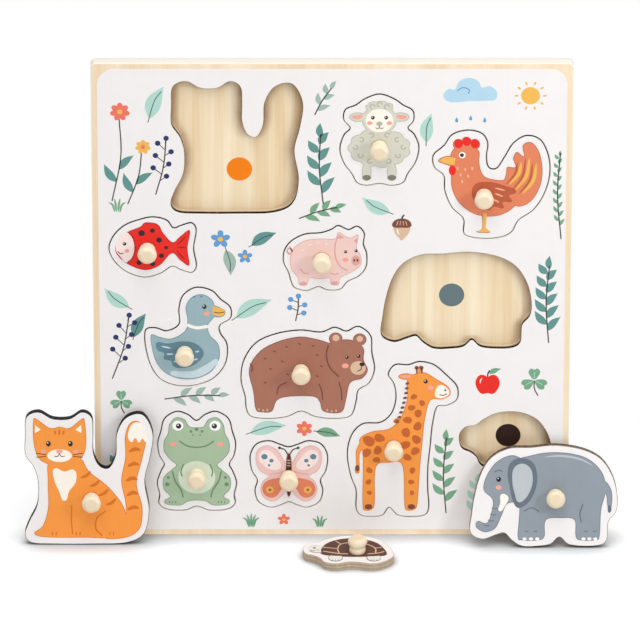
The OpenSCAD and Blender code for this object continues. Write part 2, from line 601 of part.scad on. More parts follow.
// Lays the turtle on the table in front of the board
module turtle_pose()
    translate([turtle_right - turtle_w / 2, front_y - turtle_out - turtle_h, 0])
        children();

// Parts drawn flat

module rounded_plate(w, h, r) {
    translate([-w / 2, r]) square([w, h - 2 * r]);
    translate([-w / 2 + r, 0]) square([w - 2 * r, h]);
    for (x = [-w / 2 + r, w / 2 - r], y = [r, h - r]) translate([x, y]) circle(r);
}

module pocket_outlines(gap)
    for (p = pockets) translate(corner(p[0])) polygon(grown(blank(p[1], p[2]), gap));

// Wooden piece with the blind hole for its knob
module wooden_piece(shares, size, knob_shares) difference() {
    linear_extrude(piece_t) polygon(blank(shares, size));
    translate([knob_shares[0] * size[0], knob_shares[1] * size[1], piece_t - spigot_l - glue_gap])
        cylinder(d = spigot_d + 2 * glue_gap, h = spigot_l + glue_gap + cut);
}

// Printed figure on a piece's face, left bare under the knob's foot
module figure(motifs, shares, size, knob_shares) {
    outline = smooth(shares);
    bounds = [low(outline), high(outline)];
    translate([0, 0, piece_t]) linear_extrude(print_t) difference() {
        union() for (m = motifs) polygon(sized(m, bounds, size));
        translate([knob_shares[0] * size[0], knob_shares[1] * size[1]])
            circle(d = knob_foot_d + 2 * knob_clear);
    }
}

// Turned knob, from the centre of its base: bead, crease, round head with a flat end, and the spigot below
module turned_knob(size, knob_shares) {
    bead_r = knob_bead_d / 2;
    head_r = knob_head_d / 2;
    // The head is an oval in section: its upper half ends at the flat, its lower half at the crease
    flat_a = acos(knob_flat_d / knob_head_d);
    top_rz = (knob_h - knob_head_z) / sin(flat_a);
    crease_a = acos(knob_crease_d / knob_head_d);
    low_rz = (knob_head_z - knob_bead_h) / sin(crease_a);
    // The bead is a quarter oval below its widest place and another above it, which ends at the crease
    bead_low_h = knob_bead_h * bead_low_share;
    bead_up_a = acos(knob_crease_d / knob_bead_d);
    bead_up_rz = (knob_bead_h - bead_low_h) / sin(bead_up_a);
    foot_a = acos(knob_foot_d / knob_bead_d);
    profile = concat(
        [[0, -spigot_l], [spigot_d / 2, -spigot_l], [spigot_d / 2, 0]],
        [for (i = [0 : 3]) let (a = foot_a * (i / 3 - 1))
            [bead_r * cos(a), bead_low_h * (1 + sin(a) / sin(foot_a))]],
        [for (i = [1 : 4]) let (a = bead_up_a * i / 4) [bead_r * cos(a), bead_low_h + bead_up_rz * sin(a)]],
        [for (i = [1 : 6]) let (a = crease_a * (i / 6 - 1)) [head_r * cos(a), knob_head_z + low_rz * sin(a)]],
        [for (i = [1 : 8]) let (a = flat_a * i / 8) [head_r * cos(a), knob_head_z + top_rz * sin(a)]],
        [[0, knob_h]]
    );
    color(knob_colour) translate([knob_shares[0] * size[0], knob_shares[1] * size[1], piece_t])
        rotate_extrude() polygon(profile);
}

// Colour spot on the floor of an empty pocket
module spot(place, size, spot_shares)
    upright(floor_y) translate(corner(place)) translate([spot_shares[0] * size[0], spot_shares[1] * size[1]])
        cylinder(d = spot_d, h = print_t);

// Board

module backing_board() color(ply_colour)
    upright(back_y) linear_extrude(backing_t) rounded_plate(board_w, board_h, board_corner_r);

module tray_panel() color(border_colour) upright(floor_y) linear_extrude(panel_t) difference() {
    rounded_plate(board_w, board_h, board_corner_r);
    pocket_outlines(pocket_gap);
}

module board_print() color(face_colour) upright(front_y) linear_extrude(print_t) difference() {
    translate([0, border_w]) rounded_plate(board_w - 2 * border_w, board_h - 2 * border_w, print_corner_r);
    pocket_outlines(pocket_gap + print_setback);
}

module cat_spot() color(orange) spot(cat_place, cat_size, cat_spot_shares);
module elephant_spot() color(spot_slate) spot(elephant_place, elephant_size, elephant_spot_shares);
module turtle_spot() color(dark_brown) spot(turtle_place, turtle_size, turtle_spot_shares);

// Pieces that stand or lie in front of the board

module cat_piece() color(face_colour) cat_pose() wooden_piece(cat_blank_shares, cat_size, cat_knob_shares);
module cat_print() color(orange) cat_pose() figure(cat_motifs, cat_blank_shares, cat_size, cat_knob_shares);
module cat_knob() cat_pose() turned_knob(cat_size, cat_knob_shares);

module elephant_piece() color(face_colour)
    elephant_pose() wooden_piece(elephant_blank_shares, elephant_size, elephant_knob_shares);
module elephant_print() color(slate)
    elephant_pose() figure(elephant_motifs, elephant_blank_shares, elephant_size, elephant_knob_shares);
module elephant_knob() elephant_pose() turned_knob(elephant_size, elephant_knob_shares);

module turtle_piece() color(face_colour)
    turtle_pose() wooden_piece(turtle_blank_shares, turtle_size, turtle_knob_shares);
module turtle_print() color(dark_brown)
    turtle_pose() figure(turtle_motifs, turtle_blank_shares, turtle_size, turtle_knob_shares);
module turtle_knob() turtle_pose() turned_knob(turtle_size, turtle_knob_shares);

// Pieces in their pockets

module lamb_piece() color(face_colour)
    seated(lamb_place) wooden_piece(lamb_blank_shares, lamb_size, lamb_knob_shares);
module lamb_print() color(sage_grey)
    seated(lamb_place) figure(lamb_motifs, lamb_blank_shares, lamb_size, lamb_knob_shares);
module lamb_knob() seated(lamb_place) turned_knob(lamb_size, lamb_knob_shares);

module rooster_piece() color(face_colour)
    seated(rooster_place) wooden_piece(rooster_blank_shares, rooster_size, rooster_knob_shares);
module rooster_print() color(rust)
    seated(rooster_place)
        figure(rooster_motifs, rooster_blank_shares, rooster_size, rooster_knob_shares);
module rooster_knob() seated(rooster_place) turned_knob(rooster_size, rooster_knob_shares);

module fish_piece() color(face_colour)
    seated(fish_place) wooden_piece(fish_blank_shares, fish_size, fish_knob_shares);
module fish_print() color(red)
    seated(fish_place) figure(fish_motifs, fish_blank_shares, fish_size, fish_knob_shares);
module fish_knob() seated(fish_place) turned_knob(fish_size, fish_knob_shares);

module pig_piece() color(face_colour)
    seated(pig_place) wooden_piece(pig_blank_shares, pig_size, pig_knob_shares);
module pig_print() color(pink)
    seated(pig_place) figure(pig_motifs, pig_blank_shares, pig_size, pig_knob_shares);
module pig_knob() seated(pig_place) turned_knob(pig_size, pig_knob_shares);

module duck_piece() color(face_colour)
    seated(duck_place) wooden_piece(duck_blank_shares, duck_size, duck_knob_shares);
module duck_print() color(blue_grey)
    seated(duck_place) figure(duck_motifs, duck_blank_shares, duck_size, duck_knob_shares);
module duck_knob() seated(duck_place) turned_knob(duck_size, duck_knob_shares);

module bear_piece() color(face_colour)
    seated(bear_place) wooden_piece(bear_blank_shares, bear_size, bear_knob_shares);
module bear_print() color(brown)
    seated(bear_place) figure(bear_motifs, bear_blank_shares, bear_size, bear_knob_shares);
module bear_knob() seated(bear_place) turned_knob(bear_size, bear_knob_shares);

module giraffe_piece() color(face_colour)
    seated(giraffe_place) wooden_piece(giraffe_blank_shares, giraffe_size, giraffe_knob_shares);
module giraffe_print() color(orange)
    seated(giraffe_place)
        figure(giraffe_motifs, giraffe_blank_shares, giraffe_size, giraffe_knob_shares);
module giraffe_knob() seated(giraffe_place) turned_knob(giraffe_size, giraffe_knob_shares);

module frog_piece() color(face_colour)
    seated(frog_place) wooden_piece(frog_blank_shares, frog_size, frog_knob_shares);
module frog_print() color(sage_green)
    seated(frog_place) figure(frog_motifs, frog_blank_shares, frog_size, frog_knob_shares);
module frog_knob() seated(frog_place) turned_knob(frog_size, frog_knob_shares);

module butterfly_piece() color(face_colour)
    seated(butterfly_place)
        wooden_piece(butterfly_blank_shares, butterfly_size, butterfly_knob_shares);
module butterfly_print() color(pink)
    seated(butterfly_place)
        figure(butterfly_motifs, butterfly_blank_shares, butterfly_size, butterfly_knob_shares);
module butterfly_knob() seated(butterfly_place) turned_knob(butterfly_size, butterfly_knob_shares);

backing_board();
tray_panel();
board_print();
cat_spot();
elephant_spot();
turtle_spot();
cat_piece();
cat_print();
cat_knob();
elephant_piece();
elephant_print();
elephant_knob();
turtle_piece();
turtle_print();
turtle_knob();
lamb_piece();
lamb_print();
lamb_knob();
rooster_piece();
rooster_print();
rooster_knob();
fish_piece();
fish_print();
fish_knob();
pig_piece();
pig_print();
pig_knob();
duck_piece();
duck_print();
duck_knob();
bear_piece();
bear_print();
bear_knob();
giraffe_piece();
giraffe_print();
giraffe_knob();
frog_piece();
frog_print();
frog_knob();
butterfly_piece();
butterfly_print();
butterfly_knob();
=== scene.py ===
"""Looks of a wooden peg puzzle: a printed plywood board, twelve animal pieces and their turned knobs.

Nine pieces sit in their pockets. The cat and the elephant lean on the board, and the turtle lies before it.
Every mesh is drawn flat, in millimetres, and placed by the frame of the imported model.
"""

import logging
import math
from dataclasses import dataclass, field, replace
from enum import Enum, IntEnum
from itertools import accumulate
from typing import Callable, ClassVar, Sequence

import bpy
import numpy as np
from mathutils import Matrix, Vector
from mathutils.geometry import delaunay_2d_cdt, tessellate_polygon

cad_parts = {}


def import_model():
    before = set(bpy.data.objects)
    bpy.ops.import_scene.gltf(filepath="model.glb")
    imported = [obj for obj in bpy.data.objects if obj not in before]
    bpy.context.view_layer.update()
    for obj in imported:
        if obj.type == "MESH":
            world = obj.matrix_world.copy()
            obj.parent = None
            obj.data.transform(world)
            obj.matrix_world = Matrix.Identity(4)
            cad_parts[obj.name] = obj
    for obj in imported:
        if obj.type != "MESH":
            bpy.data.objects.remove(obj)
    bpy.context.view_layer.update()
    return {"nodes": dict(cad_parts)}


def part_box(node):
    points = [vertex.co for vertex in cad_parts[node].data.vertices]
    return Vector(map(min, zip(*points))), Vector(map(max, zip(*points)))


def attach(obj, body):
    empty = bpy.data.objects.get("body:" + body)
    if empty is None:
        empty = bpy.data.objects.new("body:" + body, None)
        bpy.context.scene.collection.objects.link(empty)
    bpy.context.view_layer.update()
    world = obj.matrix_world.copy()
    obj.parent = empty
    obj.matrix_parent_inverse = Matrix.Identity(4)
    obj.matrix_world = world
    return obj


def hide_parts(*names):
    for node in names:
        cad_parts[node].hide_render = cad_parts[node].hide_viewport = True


LOG = logging.getLogger("peg_puzzle")
MM = 0.001
# Corners nearer than this are one, and levels nearer than this are the same, in millimetres
NEAR = 0.01
# An outline that turns by more than this at a point keeps its corner there
CORNER_ANGLE = math.radians(38)
# A stretch of outline this many times longer than its neighbour is a straight side
STRAIGHT = 4.0
# Thickness of a printed layer, the rounding of its edge, and how much higher each further pass of ink lies
PRINT_T = 0.15
INK_ARRIS = 0.04
INK_STEP = 0.03

Points = np.ndarray
Pair = tuple[float, float]
Colour = tuple[float, float, float, float]
Socket = bpy.types.NodeSocket


def srgb(red: int, green: int, blue: int) -> Colour:
    """Linear colour of three display values from 0 to 255."""
    share = np.array([red, green, blue]) / 255
    linear = np.where(share <= 0.04045, share / 12.92, ((share + 0.055) / 1.055) ** 2.4)
    return (*linear.tolist(), 1.0)


def unit(vectors: Points) -> Points:
    """Vectors of length one along the given ones."""
    return vectors / np.maximum(np.linalg.norm(vectors, axis=-1, keepdims=True), 1e-12)


def hermite(start: Points, leave: Points, end: Points, arrive: Points, steps: int) -> Points:
    """Points on cubic pieces, each from a start to an end with the given end tangents.

    At t from 0 to 1 a piece lies at (2t^3 - 3t^2 + 1) start + (t^3 - 2t^2 + t) leave
    + (3t^2 - 2t^3) end + (t^3 - t^2) arrive. Each gives the stated number of points, without its end.
    """
    t = (np.arange(steps) / steps)[None, :, None]
    start, leave, end, arrive = (rows[:, None, :] for rows in (start, leave, end, arrive))
    pieces = ((2 * t**3 - 3 * t**2 + 1) * start + (t**3 - 2 * t**2 + t) * leave
              + (3 * t**2 - 2 * t**3) * end + (t**3 - t**2) * arrive)
    return pieces.reshape(-1, start.shape[-1])


def closed_curve(points: Points, steps: int, corner: float = CORNER_ANGLE) -> Points:
    """Smooth closed curve through the points.

    The tangent at a point is the mean direction of its two segments, as long as the segment it serves. A
    segment many times longer than its neighbour is a straight side and gives the direction alone. Where the
    outline turns by more than the corner angle, each segment leaves along itself, so the corner stays.

    Args:
        points: Corners of the outline, two columns.
        steps: Points taken between two corners.
        corner: Angle from which a corner stays sharp.
    Returns:
        The curve's points.
    """
    ahead = np.roll(points, -1, axis=0) - points
    length = np.linalg.norm(ahead, axis=1, keepdims=True)
    onward = unit(ahead)
    behind, before = np.roll(onward, 1, axis=0), np.roll(length, 1, axis=0)
    mean = np.where(before > STRAIGHT * length, behind, onward + behind)
    mean = unit(np.where(length > STRAIGHT * before, onward, mean))
    sharp = np.sum(onward * behind, axis=1, keepdims=True) < math.cos(corner)
    leave = np.where(sharp, onward, mean) * length
    arrive = np.roll(np.where(sharp, behind, mean), -1, axis=0) * length
    return hermite(points, leave, np.roll(points, -1, axis=0), arrive, steps)


def open_curve(points: Points, steps: int) -> Points:
    """Smooth open curve through the points, whose tangents are half the step between a point's neighbours."""
    tangents = np.gradient(points, axis=0)
    inner = hermite(points[:-1], tangents[:-1], points[1:], tangents[1:], steps)
    return np.vstack([inner, points[-1:]])


def oval(middle: Pair, half_w: float, half_h: float, sides: int) -> Points:
    """Points of an upright oval: middle + (half_w cos a, half_h sin a), anticlockwise."""
    angles = np.linspace(0, 2 * math.pi, sides, endpoint=False)
    return np.array(middle) + np.stack([half_w * np.cos(angles), half_h * np.sin(angles)], axis=1)


def turned(points: Points, angle: float) -> Points:
    """Points turned anticlockwise round nought, by an angle in degrees."""
    c, s = math.cos(math.radians(angle)), math.sin(math.radians(angle))
    return points @ np.array([[c, s], [-s, c]])


def signed_area(loop: Points) -> float:
    """Area inside a flat loop, positive where it runs anticlockwise."""
    ahead = np.roll(loop, -1, axis=0)
    return float(np.sum(loop[:, 0] * ahead[:, 1] - ahead[:, 0] * loop[:, 1]) / 2)


def left_of(along: Points) -> Points:
    """Unit vectors a quarter turn to the left of the given ones."""
    along = unit(along)
    return np.stack([-along[:, 1], along[:, 0]], axis=1)


def left_normals(loop: Points) -> Points:
    """Unit normals to the left of a closed loop, from the step between each point's neighbours."""
    return left_of(np.roll(loop, -1, axis=0) - np.roll(loop, 1, axis=0))


def grid_quads(rows: int, columns: int, wrap_rows: bool = False) -> Points:
    """Four corner indices for each face of a grid whose rows are rings.

    The faces look outward where rows rise and columns run anticlockwise. With wrap_rows, the last ring joins
    the first.
    """
    row = np.arange(rows if wrap_rows else rows - 1)[:, None]
    column = np.arange(columns)[None, :]
    above, beside = (row + 1) % rows, (column + 1) % columns
    here, there = row * columns, above * columns
    corners = [here + column, here + beside, there + beside, there + column]
    return np.stack(corners, axis=-1).reshape(-1, 4)


def cap_triangles(loops: Sequence[Points]) -> Points:
    """Triangles, as point indices, that fill the first flat loop and leave the others open."""
    lines = [[Vector((x, y, 0)) for x, y in loop.tolist()] for loop in loops]
    triangles = np.array(tessellate_polygon(lines), int)
    a, b, c = (np.vstack(loops)[triangles[:, k]] for k in range(3))
    area = (b - a)[:, 0] * (c - a)[:, 1] - (b - a)[:, 1] * (c - a)[:, 0]
    triangles[area < 0] = triangles[area < 0][:, ::-1]
    return triangles[area != 0]


def rim_edges(triangles: Points) -> Points:
    """Edges that only one of the triangles has, as pairs of corner indices in its direction."""
    edges = np.vstack([triangles[:, [0, 1]], triangles[:, [1, 2]], triangles[:, [2, 0]]])
    count = triangles.max() + 1
    return edges[~np.isin(edges[:, 0] * count + edges[:, 1], edges[:, 1] * count + edges[:, 0])]


def linked(name: str, data: bpy.types.ID) -> bpy.types.Object:
    """New object in the scene."""
    made = bpy.data.objects.new(name, data)
    bpy.context.scene.collection.objects.link(made)
    return made


@dataclass(frozen=True)
class Rim:
    """Edge of a flat part between two levels, with its arrises rounded."""

    low: float
    high: float
    round_low: float = 0.0
    round_high: float = 0.0
    steps: int = 3

    def profile(self) -> Points:
        """Rows of inset and level from the low edge to the high one, a quarter circle at each round arris."""
        quarter = np.linspace(0, math.pi / 2, self.steps + 1)

        def arris(radius: float, level: float, side: int) -> Points:
            if not radius:
                return np.array([[0.0, level]])
            inset, rise = radius * (1 - np.sin(quarter)), radius * (1 - np.cos(quarter))
            return np.stack([inset, level + side * rise], axis=1)

        return np.vstack([arris(self.round_low, self.low, 1), arris(self.round_high, self.high, -1)[::-1]])


@dataclass(frozen=True)
class Flat:
    """Place of a flat drawing in the frame: its origin, and rows for its right, its up and where it faces."""

    origin: Points
    axes: Points
    size: Points = field(default_factory=lambda: np.zeros(3))

    @classmethod
    def upright(cls) -> "Flat":
        """Drawing on the board: x to the right from its middle, y up from its foot, z towards the viewer."""
        return cls(np.zeros(3), np.array([[1.0, 0, 0], [0, 0, 1.0], [0, -1.0, 0]]))

    @classmethod
    def of_plate(cls, node: bpy.types.Object) -> "Flat":
        """Drawing whose lower left corner is that of a flat node, from the way its largest face looks.

        Args:
            node: A node of even thickness whose width lies along X.
        Returns:
            The node's drawing, from its back at level 0.
        """
        corners, triangles = welded(node)
        a, b, c = (corners[triangles[:, k]] for k in range(3))
        areas = np.cross(b - a, c - a)
        ways, group = np.unique(np.round(unit(areas), 3), axis=0, return_inverse=True)
        # The front is the one of the two large faces that looks to the viewer or up
        worth = np.bincount(group.ravel(), np.linalg.norm(areas, axis=1)) * (ways[:, 2] - ways[:, 1] > 0.5)
        normal = unit(areas[group.ravel() == np.argmax(worth)].sum(axis=0))
        right = np.array([1.0, 0, 0])
        axes = np.stack([right, np.cross(normal, right), normal])
        spans = corners @ axes.T
        low, high = spans.min(axis=0), spans.max(axis=0)
        return cls(low @ axes, axes, (high - low) / MM)

    def drawn(self, corners: Points) -> Points:
        """Flat coordinates, in millimetres, of corners in the frame."""
        return (corners - self.origin) @ self.axes.T / MM

    def placed(self, points: Points) -> Points:
        """Places in the frame, in metres, of flat points in millimetres."""
        return self.origin + points * MM @ self.axes


def welded(node: bpy.types.Object) -> tuple[Points, Points]:
    """Corners of a node in metres and three corner indices for each triangle, with near corners made one."""
    mesh = node.data
    corners = np.empty(len(mesh.vertices) * 3)
    mesh.vertices.foreach_get("co", corners)
    corners = corners.reshape(-1, 3)
    mesh.calc_loop_triangles()
    triangles = np.empty(len(mesh.loop_triangles) * 3, np.int32)
    mesh.loop_triangles.foreach_get("vertices", triangles)
    _, first, same = np.unique(np.round(corners / (NEAR * MM)), axis=0, return_index=True,
                               return_inverse=True)
    return corners[first], same.ravel()[triangles].reshape(-1, 3)


def face_loops(flat: Flat, node: bpy.types.Object) -> list[Points]:
    """Rims of a flat node's front face: the edges that only one of its triangles has, walked head to tail.

    Args:
        flat: The drawing in which the face lies level.
        node: The node.
    Returns:
        Flat loops with the solid to their left, the largest first.
    """
    corners, triangles = welded(node)
    flat_corners = flat.drawn(corners)
    level = flat_corners[:, 2].max()
    rim = rim_edges(triangles[(flat_corners[triangles][:, :, 2] > level - NEAR).all(axis=1)])
    successor = np.full(len(corners), -1)
    successor[rim[:, 0]] = rim[:, 1]
    left, loops = set(rim[:, 0].tolist()), []
    while left:
        start = min(left)
        walk = np.array(list(accumulate(range(len(rim)), lambda here, _: successor[here], initial=start)))
        loop = walk[: np.flatnonzero(walk[1:] == start)[0] + 1]
        left -= set(loop.tolist())
        loops.append(flat_corners[loop, :2])
    return sorted(loops, key=lambda loop: -abs(signed_area(loop)))


class Part(IntEnum):
    """Faces of a flat part, by their place among its materials."""

    FRONT = 0
    WALL = 1
    BACK = 2
    EMPTY = 3
    FILLED = 4


@dataclass
class FlatMesh:
    """Closed mesh on a flat drawing, made of rings and caps."""

    flat: Flat
    corners: list[Points] = field(default_factory=list)
    faces: list[tuple[Points, int, bool]] = field(default_factory=list)
    tone_mask: list[Points] = field(default_factory=list)
    count: int = 0

    def points(self, corners: Points, tone_mask: Points | None = None) -> int:
        """Takes up corners, and gives the index of the first."""
        first = self.count
        self.corners.append(corners)
        self.tone_mask.append(np.zeros(len(corners)) if tone_mask is None else tone_mask)
        self.count += len(corners)
        return first

    def face(self, faces: Points, part: int = Part.FRONT, smooth: bool = False) -> None:
        """Takes up faces, given by corner indices, that wear the material of that number."""
        self.faces.append((faces, int(part), smooth))

    def walls(self, loop: Points, profile: Points | Rim, part: int = Part.WALL, ring: bool = False
              ) -> tuple[Points, Points]:
        """Carries an edge profile along a loop: a ring is the loop moved inward by the inset, at the level.

        Args:
            loop: Flat loop with the solid to its left.
            profile: A rim, or rows of inset and level.
            part: Number of the wall's material.
            ring: True if the last ring joins the first, with sharp edges.
        Returns:
            Corner indices of the first ring and of the last.
        """
        profile = profile.profile() if isinstance(profile, Rim) else profile
        rings = loop[None] + profile[:, 0, None, None] * left_normals(loop)[None]
        levels = np.broadcast_to(profile[:, 1, None, None], (len(profile), len(loop), 1))
        first = self.points(np.concatenate([rings, levels], axis=2).reshape(-1, 3))
        self.face(grid_quads(len(profile), len(loop), ring) + first, part, smooth=not ring)
        low = first + np.arange(len(loop))
        return low, low + (len(profile) - 1) * len(loop)

    def cap(self, rings: Sequence[Points], part: int = Part.FRONT, up: bool = True) -> None:
        """Level face over rings of corners taken up before, the outline first and then the holes."""
        corners = np.vstack(self.corners)
        faces = np.concatenate(rings)[cap_triangles([corners[ring][:, :2] for ring in rings])]
        self.face(faces if up else faces[:, ::-1], part, smooth=True)

    def slab(self, loops: Sequence[Points], rim: Rim,
             parts: Sequence[int] = (Part.FRONT, Part.WALL, Part.BACK)) -> None:
        """Flat part with holes: a wall along each loop, and a cap over each end.

        Args:
            loops: The outline first and then its holes, with the solid to their left.
            rim: The edge that all of them have.
            parts: Numbers of the materials of its front, walls and back.
        """
        front, wall, back = parts
        ends = [self.walls(loop, rim, wall) for loop in loops]
        self.cap([high for _, high in ends], front)
        self.cap([low for low, _ in ends], back, up=False)

    def ribbon(self, path: Points, half: Points, low: float, high: float, part: int) -> None:
        """Flat strip along an open path, as a box across each point.

        Args:
            path: Flat points in order.
            half: Half the strip's width at each point.
            low, high: Levels of its underside and top.
            part: Number of its material.
        """
        left = left_of(np.gradient(path, axis=0)) * half[:, None]
        sides = [(-left, low), (-left, high), (left, high), (left, low)]
        rings = [np.column_stack([path + side, np.full(len(path), level)]) for side, level in sides]
        first = self.points(np.stack(rings, axis=1).reshape(-1, 3))
        self.face(grid_quads(len(path), 4)[:, ::-1] + first, part)
        ends = np.array([[0, 1, 2, 3], np.arange(3, -1, -1) + 4 * (len(path) - 1)])
        self.face(ends + first, part)

    def sharp_edges(self, mesh: bpy.types.Mesh) -> Points:
        """Mask of the edges of flat faces, and of those where two blocks of faces meet."""
        edge = np.empty(len(mesh.loops), dtype=np.int32)
        mesh.loops.foreach_get("edge_index", edge)
        block = np.repeat(np.arange(len(self.faces)), [faces.size for faces, _, _ in self.faces])
        least, most = np.full(len(mesh.edges), len(self.faces)), np.full(len(mesh.edges), -1)
        np.minimum.at(least, edge, block)
        np.maximum.at(most, edge, block)
        return (least != most) | ~np.array([smooth for _, _, smooth in self.faces])[least]

    def made(self, name: str, body: str, slot: str, materials: Sequence[bpy.types.Material], *stands_for: str
             ) -> None:
        """Makes the mesh an object that rides on a body, with its flat coordinates in the attribute "local".

        Args:
            name: The piece's name.
            body: The body that it moves with.
            slot: The record's slot that its finish belongs to; not used.
            materials: One, or one for each part.
            stands_for: Nodes that it replaces.
        """
        local = np.vstack(self.corners)
        rows = [face for faces, _, _ in self.faces for face in faces.tolist()]
        mesh = bpy.data.meshes.new(name)
        mesh.from_pydata(self.flat.placed(local).tolist(), [], rows)
        counts = [len(faces) for faces, _, _ in self.faces]
        slots, smooth = (np.repeat([entry[k] for entry in self.faces], counts) for k in (1, 2))
        mesh.polygons.foreach_set("material_index", np.minimum(slots, len(materials) - 1).astype(np.int32))
        mesh.polygons.foreach_set("use_smooth", smooth)
        for label, kind, domain, key, values in (
                ("sharp_edge", "BOOLEAN", "EDGE", "value", self.sharp_edges(mesh)),
                ("local", "FLOAT_VECTOR", "POINT", "vector", local.ravel()),
                ("tone_mask", "FLOAT", "POINT", "value", np.concatenate(self.tone_mask))):
            mesh.attributes.new(label, kind, domain).data.foreach_set(key, values)
        for material in materials:
            mesh.materials.append(material)
        mesh.update()
        piece = linked(name, mesh)
        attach(piece, body)
        if stands_for:
            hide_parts(*stands_for)
        LOG.info("%s: %d faces on %s", name, len(rows), body)


@dataclass
class Wiring:
    """Adds nodes to a tree and joins them."""

    tree: bpy.types.NodeTree

    @classmethod
    def of(cls, owner: bpy.types.Material | bpy.types.World) -> "Wiring":
        """Wiring of a material's or world's own tree, without its first nodes."""
        owner.use_nodes = True
        owner.node_tree.nodes.clear()
        return cls(owner.node_tree)

    def put(self, kind: str, inputs: dict | None = None, **settings: object) -> bpy.types.Node:
        """Adds a node.

        Args:
            kind: The node's type, without the words that all shader nodes start with.
            inputs: A socket or a value for each input that isn't left as it is.
            settings: Properties of the node.
        Returns:
            The node.
        """
        node = self.tree.nodes.new(kind if kind.startswith("NodeGroup") else "ShaderNode" + kind)
        for name, value in settings.items():
            setattr(node, name, value)
        for key, value in (inputs or {}).items():
            if isinstance(value, Socket):
                self.tree.links.new(value, node.inputs[key])
            else:
                node.inputs[key].default_value = value
        return node

    def math(self, operation: str, *values: object, clamp: bool = False) -> Socket:
        """Result of one sum on values or sockets."""
        return self.put("Math", dict(enumerate(values)), operation=operation, use_clamp=clamp).outputs[0]

    def vector(self, operation: str, *values: object) -> Socket:
        """Result of one sum on vectors."""
        return self.put("VectorMath", dict(enumerate(values)), operation=operation).outputs[0]

    def noise(self, vector: object, stretch: tuple[float, float, float], detail: float = 3.0) -> Socket:
        """Noise whose cells are as fine as the stretch says, per millimetre along each axis."""
        scaled = self.vector("MULTIPLY", vector, stretch)
        return self.put("TexNoise", {"Vector": scaled, "Scale": 1.0, "Detail": detail}).outputs[0]

    def range(self, value: object, low: float, high: float, to_low: float = 0.0, to_high: float = 1.0
              ) -> Socket:
        """Smooth step from one value to another while the input goes from low to high."""
        inputs = {"Value": value, "From Min": low, "From Max": high, "To Min": to_low, "To Max": to_high}
        return self.put("MapRange", inputs, interpolation_type="SMOOTHSTEP").outputs[0]

    def blend(self, factor: object, first: object, second: object) -> Socket:
        """Colour between two."""
        return self.put("Mix", {0: factor, 6: first, 7: second}, data_type="RGBA").outputs[2]

    def shade(self, colour: object, value: object) -> Socket:
        """Colour times a value."""
        return self.put("VectorMath", {0: colour, "Scale": value}, operation="SCALE").outputs[0]

    def mask(self, attribute: str) -> Socket:
        """Value of an attribute of the mesh."""
        return self.put("Attribute", attribute_name=attribute).outputs["Fac"]


# What a group or a finish gives for its surface: a colour and the height of its relief
Look = tuple[Socket, Socket]


def node_group(name: str, inputs: dict[str, object], draw: Callable[[Wiring, dict], Look]
               ) -> bpy.types.NodeTree:
    """Shader node group with a colour and a height as its outputs.

    Args:
        name: The group's name.
        inputs: A default for each input, which also says if it is a number, a vector or a colour.
        draw: Puts the group's nodes, from its wiring and its inputs as sockets.
    Returns:
        The group.
    """
    tree = bpy.data.node_groups.new(name, "ShaderNodeTree")
    for label, default in inputs.items():
        size = len(default) if isinstance(default, tuple) else 1
        kind = {1: "NodeSocketFloat", 3: "NodeSocketVector", 4: "NodeSocketColor"}[size]
        tree.interface.new_socket(label, in_out="INPUT", socket_type=kind).default_value = default
    for label, kind in (("Colour", "NodeSocketColor"), ("Height", "NodeSocketFloat")):
        tree.interface.new_socket(label, in_out="OUTPUT", socket_type=kind)
    wiring = Wiring(tree)
    start = wiring.put("NodeGroupInput")
    colour, height = draw(wiring, {label: start.outputs[label] for label in inputs})
    wiring.put("NodeGroupOutput", {"Colour": colour, "Height": height})
    return tree


def wood_grain(w: Wiring, given: dict[str, Socket]) -> Look:
    """Wood with its grain along local y.

    Fibres are noise drawn out along the grain, year bands are slow noise across it, broad bands are slower
    still, and pores are the peaks of a finer noise. The darkness is their weighted sum times the contrast.
    """
    fibre = w.noise(given["Vector"], (0.85, 0.018, 0.85), 5.0)
    band = w.range(w.noise(given["Vector"], (0.16, 0.005, 0.16), 2.0), 0.38, 0.62)
    pore = w.range(w.noise(given["Vector"], (3.2, 0.16, 3.2), 2.0), 0.6, 0.72)
    dark = w.math("ADD", w.math("MULTIPLY", fibre, 0.55), w.math("MULTIPLY", band, 0.30))
    dark = w.math("ADD", dark, w.math("MULTIPLY", pore, 0.15))
    slow = w.range(w.noise(given["Vector"], (0.055, 0.002, 0.055), 1.0), 0.35, 0.65, -0.22, 0.22)
    dark = w.math("MULTIPLY", w.math("ADD", dark, slow), given["Contrast"], clamp=True)
    height = w.math("SUBTRACT", fibre, w.math("MULTIPLY", pore, 0.6))
    return w.blend(dark, given["Light"], given["Dark"]), height


def print_mottle(w: Wiring, given: dict[str, Socket]) -> Look:
    """Ink on wood: blotches, a fine speckle, and the upright fibres below that show through.

    The colour is scaled by one plus the amount times the weighted noises less their means.
    """
    blotch = w.noise(given["Vector"], (0.11, 0.09, 0.11), 5.0)
    speckle = w.noise(given["Vector"], (1.9, 1.9, 1.9), 2.0)
    fibre = w.noise(given["Vector"], (0.9, 0.02, 0.9), 4.0)
    total = w.math("MULTIPLY_ADD", speckle, 0.5, w.math("MULTIPLY_ADD", fibre, 0.7, blotch))
    swing = w.math("MULTIPLY_ADD", w.math("SUBTRACT", total, 1.1), given["Amount"], 1.0)
    return w.shade(given["Colour"], swing), w.math("MULTIPLY_ADD", speckle, 0.4, fibre)


